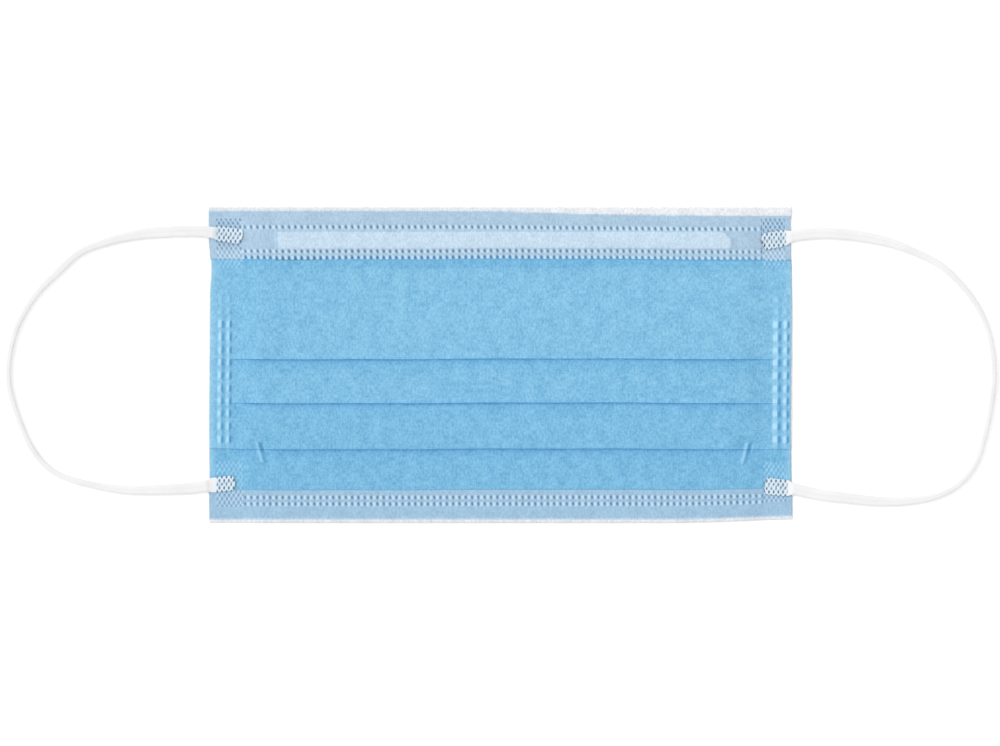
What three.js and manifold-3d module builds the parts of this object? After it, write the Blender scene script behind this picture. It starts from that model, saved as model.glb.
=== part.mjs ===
// Surgical face mask, three-ply, laid flat with its blue outer face up.
//
// Units are millimetres. X runs along the mask's width, +Y points to the nose edge and +Z is up.
// The origin is the middle of the body's footprint, on the surface that the mask lies on.

import * as THREE from 'three';
import { mergeVertices } from 'three/addons/utils/BufferGeometryUtils.js';
import Module from 'manifold-3d';

const wasm = await Module();
wasm.setup();

// Driving dimensions of the body.
const BODY_WIDTH = 175;
const BODY_HEIGHT = 94.6;
const CLOTH = 1.0;
const PLY_GAP = 0.25;
const PIECE_GAP = 0.3;

// The pleats, from the nose edge down. Each front fold lies over the panel below it.
const PLEAT_EDGES = [1.8, -11.4, -25.2];
const PLEAT_DEPTH = 9.5;
const FIRST_RISE_LENGTH = 12;

// The side seals, where the folded plies are fused and pressed.
const SEAL_WIDTH = 8;
const SEAL_BLEND = 6;
const SEAL_PRESS = 0.4;
const SEAL_INSET = 0.05;

// The hems and the strip in the upper one.
const TOP_HEM_HEIGHT = 15.3;
const BOTTOM_HEM_HEIGHT = 9.8;
const STRIP_LENGTH = 135.7;
const STRIP_WIDTH = 4.8;
const STRIP_THICKNESS = 0.8;
const STRIP_CENTRE = new THREE.Vector2(1.05, 37.5);
const STRIP_CORNER_CUT = 2.2;
const POCKET_SLOPE = 1.3;

// The elastic ear loops.
const ELASTIC_WIDTH = 3.2;
const ELASTIC_THICKNESS = 1.6;
const ELASTIC_CORNER = 0.5;
const ELASTIC_STEPS = 76;
const WELDED_END_THICKNESS = 0.8;

// How many straight facets make each slope and each fold.
const RAMP_FACETS = 6;
const FOLD_FACETS = 6;
const POCKET_FACETS = 4;

// Heights that follow from the thicknesses.
const PLY_PITCH = CLOTH + PLY_GAP;
const LOW_PLY = CLOTH / 2;
const MIDDLE_PLY = LOW_PLY + PLY_PITCH;
const HIGH_PLY = MIDDLE_PLY + PLY_PITCH;
const STACK_TOP = HIGH_PLY + CLOTH / 2;
const FLAP_HEIGHT = CLOTH + PIECE_GAP + CLOTH / 2;
const POCKET_RISE = STRIP_THICKNESS + PIECE_GAP;
const WELDED_END_HEIGHT = FLAP_HEIGHT + CLOTH / 2 + PIECE_GAP;
const EDGE = BODY_HEIGHT / 2;
const PANEL_EDGE = EDGE - CLOTH - PIECE_GAP;
const HALF_WIDTH = BODY_WIDTH / 2;

// The route of each loop's middle line, from its upper weld round to its lower one.
const LEFT_LOOP = [
  [-88.3, 40.0, 3.0], [-91.0, 40.1, 1.9], [-94.5, 40.15, 1.0], [-99.5, 40.0, 0.9],
  [-108.0, 39.3, 0.9], [-117.0, 37.4, 0.9], [-126.2, 33.8, 0.9], [-133.4, 27.6, 0.9],
  [-139.8, 20.8, 0.9], [-144.8, 12.2, 0.9], [-147.3, 3.5, 0.9], [-147.7, -5.5, 0.9],
  [-145.3, -14.6, 0.9], [-141.6, -23.6, 0.9], [-136.8, -30.0, 0.9], [-131.0, -33.6, 0.9],
  [-122.0, -36.1, 0.9], [-112.0, -37.5, 0.9], [-102.0, -37.4, 0.9], [-95.0, -37.1, 1.0],
  [-91.2, -36.7, 1.9], [-88.3, -36.3, 3.0],
];
const RIGHT_LOOP = [
  [88.3, 38.8, 3.0], [91.0, 39.2, 1.9], [94.5, 39.5, 1.0], [99.5, 39.5, 0.9],
  [108.0, 38.6, 0.9], [117.5, 36.5, 0.9], [125.5, 33.3, 0.9], [132.5, 29.5, 0.9],
  [139.5, 22.5, 0.9], [144.6, 14.4, 0.9], [147.2, 5.5, 0.9], [148.0, -3.5, 0.9],
  [147.0, -12.5, 0.9], [145.2, -21.0, 0.9], [142.6, -29.2, 0.9], [138.0, -35.3, 0.9],
  [131.5, -39.0, 0.9], [123.0, -40.7, 0.9], [113.5, -40.9, 0.9], [103.5, -39.9, 0.9],
  [95.5, -38.9, 1.0], [91.4, -38.0, 1.9], [88.3, -37.3, 3.0],
];

// The flattened ends that are welded onto the corners, seen from above. The upper left one is cut askew.
const WELDED_ENDS = {
  leftUpper: [[-89.8, 37.2], [-79.2, 35.8], [-77.2, 40.4], [-80.4, 41.5], [-89.8, 42.2]],
  leftLower: [[-89.8, -38.9], [-79.6, -38.5], [-79.4, -33.2], [-89.8, -33.9]],
  rightUpper: [[89.8, 36.4], [89.8, 41.2], [78.4, 40.3], [78.2, 34.9]],
  rightLower: [[89.8, -39.8], [89.8, -35.2], [79.2, -33.5], [79.2, -39.4]],
};

const COLOURS = {
  outerCloth: 0x82c1e3,
  lining: 0xb9d6e8,
  strip: 0xe8edf0,
  elastic: 0xf0eff2,
};

// A wall of even thickness along a line of (Y, Z) points, as a closed outline.
function wallOutline(line, thickness) {
  const front = [];
  const back = [];
  line.forEach((point, i) => {
    const before = line[Math.max(i - 1, 0)];
    const after = line[Math.min(i + 1, line.length - 1)];
    const into = point.clone().sub(before).normalize();
    const out = after.clone().sub(point).normalize();
    if (i === 0) into.copy(out);
    if (i === line.length - 1) out.copy(into);
    const along = into.clone().add(out).normalize();
    const normal = new THREE.Vector2(-along.y, along.x);
    const reach = thickness / 2 / Math.max(along.dot(out), 0.5);
    front.push(point.clone().addScaledVector(normal, reach));
    back.push(point.clone().addScaledVector(normal, -reach));
  });
  return new THREE.Shape([...front, ...back.reverse()]);
}

// Points of a smooth rise or fall between two levels.
function ramp(fromY, fromZ, toY, toZ) {
  const points = [];
  for (let i = 0; i <= RAMP_FACETS; i += 1) {
    const t = i / RAMP_FACETS;
    const ease = t * t * (3 - 2 * t);
    points.push(new THREE.Vector2(fromY + (toY - fromY) * t, fromZ + (toZ - fromZ) * ease));
  }
  return points;
}

// Points of an arc that starts at the top and turns the cloth by the given angle.
function fold(centreY, centreZ, radius, turn) {
  const centre = new THREE.Vector2(centreY, centreZ);
  const points = [];
  for (let i = 0; i <= FOLD_FACETS; i += 1) {
    const spoke = new THREE.Vector2(0, radius).rotateAround(new THREE.Vector2(), (turn * i) / FOLD_FACETS);
    points.push(spoke.add(centre));
  }
  return points;
}

// Extrudes a (Y, Z) outline along X through the given stations.
function extrudeAlongX(outline, stations) {
  const steps = stations.length - 1;
  const geometry = new THREE.ExtrudeGeometry(outline, { depth: 1, steps, bevelEnabled: false });
  return moveVertices(geometry, (p) => p.set(stations[Math.round(p.z * steps)], p.x, p.y));
}

// Moves every vertex of a geometry by a function that changes it in place.
function moveVertices(geometry, move) {
  const position = geometry.getAttribute('position');
  const point = new THREE.Vector3();
  for (let i = 0; i < position.count; i += 1) {
    point.fromBufferAttribute(position, i);
    move(point);
    position.setXYZ(i, point.x, point.y, point.z);
  }
  return geometry;
}

// A closed geometry as a solid that can be joined.
function solid(geometry) {
  const bare = geometry.clone();
  bare.deleteAttribute('normal');
  bare.deleteAttribute('uv');
  const merged = mergeVertices(bare, 1e-4);
  return new wasm.Manifold(new wasm.Mesh({
    numProp: 3,
    vertProperties: new Float32Array(merged.getAttribute('position').array),
    triVerts: new Uint32Array(merged.getIndex().array),
  }));
}

// Joins closed geometries into one.
function join(geometries) {
  const whole = geometries.map(solid).reduce((sum, piece) => sum.add(piece));
  const mesh = whole.getMesh();
  const geometry = new THREE.BufferGeometry();
  geometry.setAttribute('position', new THREE.BufferAttribute(mesh.vertProperties, 3));
  geometry.setIndex(new THREE.BufferAttribute(mesh.triVerts, 1));
  return geometry;
}

function piece(name, geometry, colour, roughness, metalness = 0) {
  geometry.computeVertexNormals();
  const material = new THREE.MeshStandardMaterial({ color: colour, roughness, metalness });
  const mesh = new THREE.Mesh(geometry, material);
  mesh.name = name;
  return mesh;
}

// The middle line of the folded laminate, from the nose edge to the chin edge.
function pleatedLine() {
  const radius = PLY_PITCH / 2;
  const reach = radius + CLOTH / 2;
  const firstBack = PLEAT_EDGES[0] + PLEAT_DEPTH;
  const line = [new THREE.Vector2(PANEL_EDGE, LOW_PLY)];
  let riseStart = firstBack + FIRST_RISE_LENGTH;
  for (const edge of PLEAT_EDGES) {
    const back = edge + PLEAT_DEPTH;
    line.push(...ramp(riseStart, LOW_PLY, back, HIGH_PLY));
    line.push(...fold(edge + reach, HIGH_PLY - radius, radius, Math.PI));
    line.push(...fold(back - reach, LOW_PLY + radius, radius, -Math.PI));
    riseStart = edge;
  }
  line.push(new THREE.Vector2(-PANEL_EDGE, LOW_PLY));
  return line;
}

// The outline of the fused stack at the sides, just inside the folded plies.
function sealOutline() {
  const top = STACK_TOP - SEAL_INSET;
  const low = CLOTH - SEAL_INSET;
  const end = PANEL_EDGE - SEAL_INSET;
  const points = [new THREE.Vector2(end, 0), new THREE.Vector2(end, low)];
  let riseStart = PLEAT_EDGES[0] + PLEAT_DEPTH + FIRST_RISE_LENGTH;
  for (const edge of PLEAT_EDGES) {
    points.push(...ramp(riseStart, low, edge + PLEAT_DEPTH, top));
    points.push(new THREE.Vector2(edge + CLOTH, top));
    points.push(new THREE.Vector2(edge + CLOTH, low));
    riseStart = edge;
  }
  points.push(new THREE.Vector2(-end, low), new THREE.Vector2(-end, 0));
  return new THREE.Shape(points);
}

// Presses what lies above the lowest ply down towards it, more and more up to the seal.
function pressSides(point) {
  const inside = HALF_WIDTH - SEAL_WIDTH - Math.abs(point.x);
  const free = THREE.MathUtils.smoothstep(inside, 0, SEAL_BLEND);
  const scale = THREE.MathUtils.lerp(SEAL_PRESS, 1, free);
  if (point.z > CLOTH) point.z = CLOTH + (point.z - CLOTH) * scale;
}

function pleatedPanel() {
  const sealEdge = HALF_WIDTH - SEAL_WIDTH;
  const blend = [0, 1 / 3, 2 / 3, 1].map((t) => sealEdge - t * SEAL_BLEND);
  const right = [HALF_WIDTH, ...blend];
  const stations = [...right.map((x) => -x), 0, ...right.reverse()];
  const folded = extrudeAlongX(wallOutline(pleatedLine(), CLOTH), stations);
  const seals = [
    extrudeAlongX(sealOutline(), [-HALF_WIDTH, -sealEdge]),
    extrudeAlongX(sealOutline(), [sealEdge, HALF_WIDTH]),
  ];
  const parts = [folded, ...seals].map((geometry) => moveVertices(geometry, pressSides));
  return piece('pleated_panel', join(parts), COLOURS.outerCloth, 0.85);
}

// A hem wraps the panel's edge: a flap over the front and a lip down to the surface.
function hemOutline(height, slopes) {
  const bend = CLOTH;
  const lip = EDGE - CLOTH / 2;
  const line = [new THREE.Vector2(EDGE - height, FLAP_HEIGHT)];
  slopes.forEach((y) => line.push(new THREE.Vector2(y, FLAP_HEIGHT)));
  line.push(...fold(lip - bend, FLAP_HEIGHT - bend, bend, -Math.PI / 2));
  line.push(new THREE.Vector2(lip, 0));
  return wallOutline(line, CLOTH);
}

// Places across the pocket's two slopes, which start at low and high and lead away from the strip.
function pocketPlaces(low, high) {
  const lower = [];
  const upper = [];
  for (let i = 0; i <= POCKET_FACETS; i += 1) {
    const away = (POCKET_SLOPE * i) / POCKET_FACETS;
    lower.unshift(low - away);
    upper.push(high + away);
  }
  return [...lower, ...upper];
}

function topHem() {
  const halfPocket = STRIP_WIDTH / 2 + PIECE_GAP / 2;
  const stripLow = STRIP_CENTRE.y - halfPocket;
  const stripHigh = STRIP_CENTRE.y + halfPocket;
  const half = STRIP_LENGTH / 2 + PIECE_GAP;
  const slopes = pocketPlaces(stripLow, stripHigh);
  const ends = pocketPlaces(STRIP_CENTRE.x - half, STRIP_CENTRE.x + half);
  const stations = [-HALF_WIDTH, ...ends, HALF_WIDTH];
  const geometry = extrudeAlongX(hemOutline(TOP_HEM_HEIGHT, slopes), stations);
  moveVertices(geometry, (point) => {
    const besideY = Math.max(stripLow - point.y, point.y - stripHigh, 0);
    const besideX = Math.max(Math.abs(point.x - STRIP_CENTRE.x) - half, 0);
    const overStrip = 1 - THREE.MathUtils.smoothstep(Math.hypot(besideX, besideY), 0, POCKET_SLOPE);
    point.z += POCKET_RISE * overStrip;
  });
  return piece('top_hem', geometry, COLOURS.lining, 0.8);
}

function bottomHem() {
  const geometry = extrudeAlongX(hemOutline(BOTTOM_HEM_HEIGHT, []), [-HALF_WIDTH, 0, HALF_WIDTH]);
  geometry.rotateZ(Math.PI);
  return piece('bottom_hem', geometry, COLOURS.lining, 0.8);
}

function noseStrip() {
  const halfLength = STRIP_LENGTH / 2;
  const halfWidth = STRIP_WIDTH / 2;
  const outline = new THREE.Shape();
  outline.moveTo(-halfLength, -halfWidth);
  outline.lineTo(halfLength, -halfWidth);
  outline.lineTo(halfLength, halfWidth - STRIP_CORNER_CUT);
  outline.quadraticCurveTo(halfLength, halfWidth, halfLength - 2 * STRIP_CORNER_CUT, halfWidth);
  outline.lineTo(-halfLength, halfWidth);
  outline.closePath();
  const options = { depth: STRIP_THICKNESS, bevelEnabled: false };
  const strip = piece('nose_strip', new THREE.ExtrudeGeometry(outline, options), COLOURS.strip, 0.45);
  strip.position.set(STRIP_CENTRE.x, STRIP_CENTRE.y, CLOTH + PIECE_GAP);
  return strip;
}

// The elastic's section: X is its width and Y its thickness, with cut corners.
function elasticSection() {
  const halfWidth = ELASTIC_WIDTH / 2;
  const halfThickness = ELASTIC_THICKNESS / 2;
  return new THREE.Shape([
    new THREE.Vector2(-halfWidth + ELASTIC_CORNER, -halfThickness),
    new THREE.Vector2(halfWidth - ELASTIC_CORNER, -halfThickness),
    new THREE.Vector2(halfWidth, -halfThickness + ELASTIC_CORNER),
    new THREE.Vector2(halfWidth, halfThickness - ELASTIC_CORNER),
    new THREE.Vector2(halfWidth - ELASTIC_CORNER, halfThickness),
    new THREE.Vector2(-halfWidth + ELASTIC_CORNER, halfThickness),
    new THREE.Vector2(-halfWidth, halfThickness - ELASTIC_CORNER),
    new THREE.Vector2(-halfWidth, -halfThickness + ELASTIC_CORNER),
  ]);
}

function earLoop(name, route, ends) {
  const extrudePath = new THREE.CatmullRomCurve3(route.map((point) => new THREE.Vector3(...point)));
  const options = { steps: ELASTIC_STEPS, bevelEnabled: false, extrudePath };
  const band = new THREE.ExtrudeGeometry(elasticSection(), options);
  const plates = ends.map((corners) => {
    const outline = new THREE.Shape(corners.map((corner) => new THREE.Vector2(...corner)));
    const plate = new THREE.ExtrudeGeometry(outline, { depth: WELDED_END_THICKNESS, bevelEnabled: false });
    return plate.translate(0, 0, WELDED_END_HEIGHT);
  });
  return piece(name, join([band, ...plates]), COLOURS.elastic, 0.8);
}

const mask = new THREE.Group();
mask.add(
  pleatedPanel(),
  topHem(),
  bottomHem(),
  noseStrip(),
  earLoop('ear_loop_left', LEFT_LOOP, [WELDED_ENDS.leftUpper, WELDED_ENDS.leftLower]),
  earLoop('ear_loop_right', RIGHT_LOOP, [WELDED_ENDS.rightUpper, WELDED_ENDS.rightLower]),
);

export default mask;
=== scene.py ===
"""Surgical face mask, laid flat with its blue outer face up and its ear loops spread beside it.

Every sheet starts as a flat rectangle of cloth with its own thickness. It is then folded along the
pleat profile, pressed at its sides, and welded with rows of small dots, all by moving its vertices.
Lengths are metres. X runs along the mask's width, +Y points to the nose edge and +Z is up.
"""
import math

import bmesh
import bpy
import numpy as np
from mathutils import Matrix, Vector


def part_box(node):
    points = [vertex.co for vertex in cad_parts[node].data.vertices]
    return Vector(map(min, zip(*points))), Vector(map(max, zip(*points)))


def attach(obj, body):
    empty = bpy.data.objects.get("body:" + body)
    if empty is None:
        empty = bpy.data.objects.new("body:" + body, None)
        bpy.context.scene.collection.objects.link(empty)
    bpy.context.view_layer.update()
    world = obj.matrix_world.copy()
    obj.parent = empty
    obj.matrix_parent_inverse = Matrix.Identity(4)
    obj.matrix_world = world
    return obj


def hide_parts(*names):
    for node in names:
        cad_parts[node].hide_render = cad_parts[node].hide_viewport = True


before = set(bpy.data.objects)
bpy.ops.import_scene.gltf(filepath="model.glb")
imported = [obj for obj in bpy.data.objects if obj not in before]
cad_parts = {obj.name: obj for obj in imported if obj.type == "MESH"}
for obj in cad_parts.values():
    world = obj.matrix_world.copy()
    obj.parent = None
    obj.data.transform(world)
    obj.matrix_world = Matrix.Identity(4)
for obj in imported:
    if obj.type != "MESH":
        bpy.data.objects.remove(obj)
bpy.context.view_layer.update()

MM = 0.001

# ---------------------------------------------------------------- sizes that come from the frame

panel_low, panel_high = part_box("pleated_panel")
top_low, top_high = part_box("top_hem")
bottom_low, bottom_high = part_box("bottom_hem")
strip_low, strip_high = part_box("nose_strip")

LEFT = panel_low[0]
RIGHT = panel_high[0]
WIDTH = RIGHT - LEFT
HALF_WIDTH = WIDTH / 2
NOSE_EDGE = top_high[1]
CHIN_EDGE = bottom_low[1]
TOP_FLAP_END = top_low[1]
BOTTOM_FLAP_END = bottom_high[1]
STRIP_CENTRE_X = (strip_low[0] + strip_high[0]) / 2
STRIP_CENTRE_Y = (strip_low[1] + strip_high[1]) / 2
STRIP_HALF_LENGTH = (strip_high[0] - strip_low[0]) / 2
STRIP_HALF_WIDTH = (strip_high[1] - strip_low[1]) / 2

# ---------------------------------------------------------------- the cloth and its pleats

PLEAT_EDGES = (1.8 * MM, -11.4 * MM, -25.2 * MM)
PLEAT_DEPTH = 9.5 * MM
LAYER = 0.16 * MM
# The folded laminate: from ply to ply, and half its thickness where it is pressed and puffed.
PLY_PITCH = 0.56 * MM
PRESSED_HALF = 0.25 * MM
PUFFED_HALF = 0.5 * MM
# How far the lowest cloth is held clear of the floor.
CLEARANCE = 0.02 * MM
OUTER_TOP = 46.3 * MM
OUTER_BOTTOM = -46.2 * MM
OUTER_INSET = 0.25 * MM
LINING_TOP = 35.2 * MM
LINING_BOTTOM = -41.0 * MM
# The hems' legs end behind the body here.
TOP_LEG_END = 33.2 * MM
BOTTOM_LEG_END = -38.8 * MM
# The outer cloth is cut a little askew: how much lower its top edge is at each x.
ASKEW_X = (-87.5 * MM, -20.0 * MM, 0.0, 18.0 * MM, 30.0 * MM, 87.5 * MM)
ASKEW_DROP = (0.0, 0.05 * MM, 0.2 * MM, 0.75 * MM, 1.15 * MM, 1.55 * MM)

# ---------------------------------------------------------------- the welds' places

DOT_PITCH = 1.894 * MM
DOT_PHASE = 1.01 * MM
DOT_SPAN = (-77.6 * MM, 78.8 * MM)
DOT_HALF = (0.34 * MM, 0.55 * MM)
TOP_DOT_ROWS = (41.4 * MM, 34.2 * MM, 32.35 * MM)
BOTTOM_DOT_ROWS = (-39.75 * MM, -41.7 * MM)
FAINT_DOT_ROWS = (33.3 * MM, -40.75 * MM)
# How far each of the top rows, and the flap's edge, runs lower towards the right.
TOP_ROW_DROOPS = (0.65 * MM, 0.25 * MM, 0.35 * MM)
FLAP_DROOP = 0.35 * MM
DROOP_SPAN = (-20.0 * MM, 70.0 * MM)

LATTICE_PITCH = 1.4 * MM
LATTICE_ROW = 1.1 * MM
LATTICE_HALF = (0.3 * MM, 0.53 * MM)
# Each corner's weld: left, right, bottom and top of its diamond mesh.
CORNER_WELDS = (
    (-85.1 * MM, -77.9 * MM, 29.4 * MM, 43.7 * MM),
    (78.6 * MM, 85.5 * MM, 29.4 * MM, 43.6 * MM),
    (-85.0 * MM, -77.4 * MM, -42.3 * MM, -29.2 * MM),
    (79.2 * MM, 86.0 * MM, -41.6 * MM, -29.3 * MM),
)

# Each column of side dashes: where its steep face starts, how far its slope reaches outwards, where
# the fused band on its steep face ends (it is painted with shade too), and how strong its slope's
# painted highlight is.
SIDE_DASH_COLUMNS = (
    (-83.7 * MM, 1.25 * MM, 0.58 * MM, 0.9),
    (-81.3 * MM, 1.05 * MM, 0.52 * MM, 0.85),
    (83.3 * MM, 1.8 * MM, 0.82 * MM, 1.0),
    (85.9 * MM, 1.15 * MM, 0.7 * MM, 1.0),
)
SIDE_DASH_TOP = 19.86 * MM
SIDE_DASH_PITCH = 3.83 * MM
SIDE_DASH_COUNT = 12
SIDE_DASH_HALF = 1.15 * MM
FAINT_DASHES = 2
FAINT_SHARE = 0.3
# The low seam that joins the dashes of a column.
SEAM_SPAN = (SIDE_DASH_TOP - 11.4 * SIDE_DASH_PITCH, SIDE_DASH_TOP - 7.0 * MM)
SEAM_FADE = 3.0 * MM
# The slanting tacks that hold the last pleat, from their upper to their lower end.
TACKS = (
    ((-72.7 * MM, -23.3 * MM), (-70.8 * MM, -29.8 * MM)),
    ((74.5 * MM, -23.4 * MM), (72.7 * MM, -30.3 * MM)),
)
FUSED_LEFT = -80.6 * MM
FUSED_RIGHT = 81.9 * MM

# ---------------------------------------------------------------- the ear loops' routes

ELASTIC_WIDTH = 3.4 * MM
ELASTIC_THICKNESS = 1.5 * MM
LEFT_LOOP = [
    (-0.0883, 0.0400, 0.0030), (-0.0910, 0.0401, 0.0019), (-0.0945, 0.04015, 0.0010),
    (-0.0995, 0.0400, 0.0009), (-0.1080, 0.0393, 0.0009), (-0.1170, 0.0374, 0.0009),
    (-0.1262, 0.0338, 0.0009), (-0.1334, 0.0276, 0.0009), (-0.1398, 0.0208, 0.0009),
    (-0.1448, 0.0122, 0.0009), (-0.1473, 0.0035, 0.0009), (-0.1477, -0.0055, 0.0009),
    (-0.1453, -0.0146, 0.0009), (-0.1416, -0.0236, 0.0009), (-0.1368, -0.0300, 0.0009),
    (-0.1310, -0.0336, 0.0009), (-0.1220, -0.0361, 0.0009), (-0.1120, -0.0375, 0.0009),
    (-0.1020, -0.0374, 0.0009), (-0.0950, -0.0371, 0.0010), (-0.0912, -0.0367, 0.0019),
    (-0.0883, -0.0363, 0.0030),
]
RIGHT_LOOP = [
    (0.0883, 0.0388, 0.0030), (0.0910, 0.0392, 0.0019), (0.0945, 0.0395, 0.0010),
    (0.0995, 0.0395, 0.0009), (0.1080, 0.0386, 0.0009), (0.1175, 0.0365, 0.0009),
    (0.1255, 0.0333, 0.0009), (0.1325, 0.0295, 0.0009), (0.1395, 0.0225, 0.0009),
    (0.1446, 0.0144, 0.0009), (0.1472, 0.0055, 0.0009), (0.1480, -0.0035, 0.0009),
    (0.1470, -0.0125, 0.0009), (0.1452, -0.0210, 0.0009), (0.1426, -0.0292, 0.0009),
    (0.1380, -0.0353, 0.0009), (0.1315, -0.0390, 0.0009), (0.1230, -0.0407, 0.0009),
    (0.1135, -0.0409, 0.0009), (0.1035, -0.0399, 0.0009), (0.0955, -0.0389, 0.0010),
    (0.0914, -0.0380, 0.0019), (0.0883, -0.0373, 0.0030),
]
# The inner end of each weld, where the flattened elastic stops.
LEFT_ENDS = ((-0.0774, 0.0384), (-0.0796, -0.0353))
RIGHT_ENDS = ((0.0784, 0.0368), (0.0792, -0.0362))
# The width of the flattened elastic in its welds, and how far each end is cut on the slant.
LEFT_WELD = (4.5 * MM, 0.14, 0.04)
RIGHT_WELD = (5.0 * MM, 0.0, 0.05)
# How the elastic curls up narrower in its bend: the share of its length, then its width there.
LEFT_WIDTHS = (
    (0.0, 3.4 * MM), (0.11, 3.4 * MM), (0.166, 3.2 * MM), (0.215, 2.6 * MM), (0.27, 2.0 * MM),
    (0.318, 2.4 * MM), (0.367, 1.9 * MM), (0.421, 1.6 * MM), (0.7, 1.6 * MM), (0.758, 1.9 * MM),
    (0.8125, 2.5 * MM), (0.867, 3.0 * MM), (0.91, 3.4 * MM), (1.0, 3.4 * MM),
)
RIGHT_WIDTHS = (
    (0.0, 3.4 * MM), (0.1, 3.4 * MM), (0.156, 3.25 * MM), (0.208, 2.8 * MM), (0.25, 2.1 * MM),
    (0.293, 1.95 * MM), (0.345, 1.7 * MM), (0.398, 1.6 * MM), (0.68, 1.6 * MM), (0.714, 1.7 * MM),
    (0.756, 2.35 * MM), (0.808, 2.85 * MM), (0.861, 3.2 * MM), (0.91, 3.4 * MM), (1.0, 3.4 * MM),
)
# Each loop: its piece, its node, its route, its ends, its widths and its weld.
LOOPS = (
    ("ear_loop_left_elastic", "ear_loop_left", LEFT_LOOP, LEFT_ENDS, LEFT_WIDTHS, LEFT_WELD),
    ("ear_loop_right_elastic", "ear_loop_right", RIGHT_LOOP, RIGHT_ENDS, RIGHT_WIDTHS, RIGHT_WELD),
)

# ---------------------------------------------------------------- camera, light and floor

CAMERA_HEIGHT = 2.0
CAMERA_REACH = 20.0
SENSOR_WIDTH_MM = 36.0
VIEW_WIDTH = 300.2 * MM
VIEW_CENTRE = (-0.15 * MM, -2.4 * MM)

KEY_FROM = (-0.86, 0.42, 0.66)
KEY_STRENGTH = 1.4
KEY_SPREAD = math.radians(50.0)
STUDIO_STRENGTH = 1.055
WHITE = (1.0, 1.0, 1.0, 1.0)

FLOOR_HALF = 3.0
FLOOR_CELLS = 4


def place_camera():
    """A camera straight above the mask, framed to its width and loops."""
    camera = bpy.data.cameras.new("camera")
    camera.sensor_width = SENSOR_WIDTH_MM
    camera.lens = SENSOR_WIDTH_MM * CAMERA_HEIGHT / VIEW_WIDTH
    camera.clip_end = CAMERA_REACH
    thing = bpy.data.objects.new("camera", camera)
    thing.location = (*VIEW_CENTRE, CAMERA_HEIGHT)
    bpy.context.scene.collection.objects.link(thing)
    bpy.context.scene.camera = thing


def light_scene():
    """One broad lamp from the left, low enough to draw the welds, in an evenly lit white studio."""
    lamp = bpy.data.lights.new("key_light", "SUN")
    lamp.energy = KEY_STRENGTH
    lamp.angle = KEY_SPREAD
    thing = bpy.data.objects.new("key_light", lamp)
    thing.location = KEY_FROM
    thing.rotation_euler = Vector(KEY_FROM).to_track_quat("Z", "Y").to_euler()
    bpy.context.scene.collection.objects.link(thing)
    world = bpy.data.worlds.new("studio")
    world.use_nodes = True
    sky = world.node_tree.nodes["Background"]
    sky.inputs["Color"].default_value = WHITE
    sky.inputs["Strength"].default_value = STUDIO_STRENGTH
    bpy.context.scene.world = world
    bpy.context.scene.view_settings.view_transform = "Standard"


def make_floor():
    """A wide sheet of pale paper under the mask."""
    build = bmesh.new()
    bmesh.ops.create_grid(build, x_segments=FLOOR_CELLS, y_segments=FLOOR_CELLS, size=FLOOR_HALF)
    mesh = bpy.data.meshes.new("floor")
    build.to_mesh(mesh)
    build.free()
    floor = bpy.data.objects.new("floor", mesh)
    bpy.context.scene.collection.objects.link(floor)
    mesh.materials.append(floor_finish())


# ---------------------------------------------------------------- node helpers

# The sockets of a Mix node that carry its colours.
MIX_FIRST = 6
MIX_SECOND = 7
MIX_RESULT = 2


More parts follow.
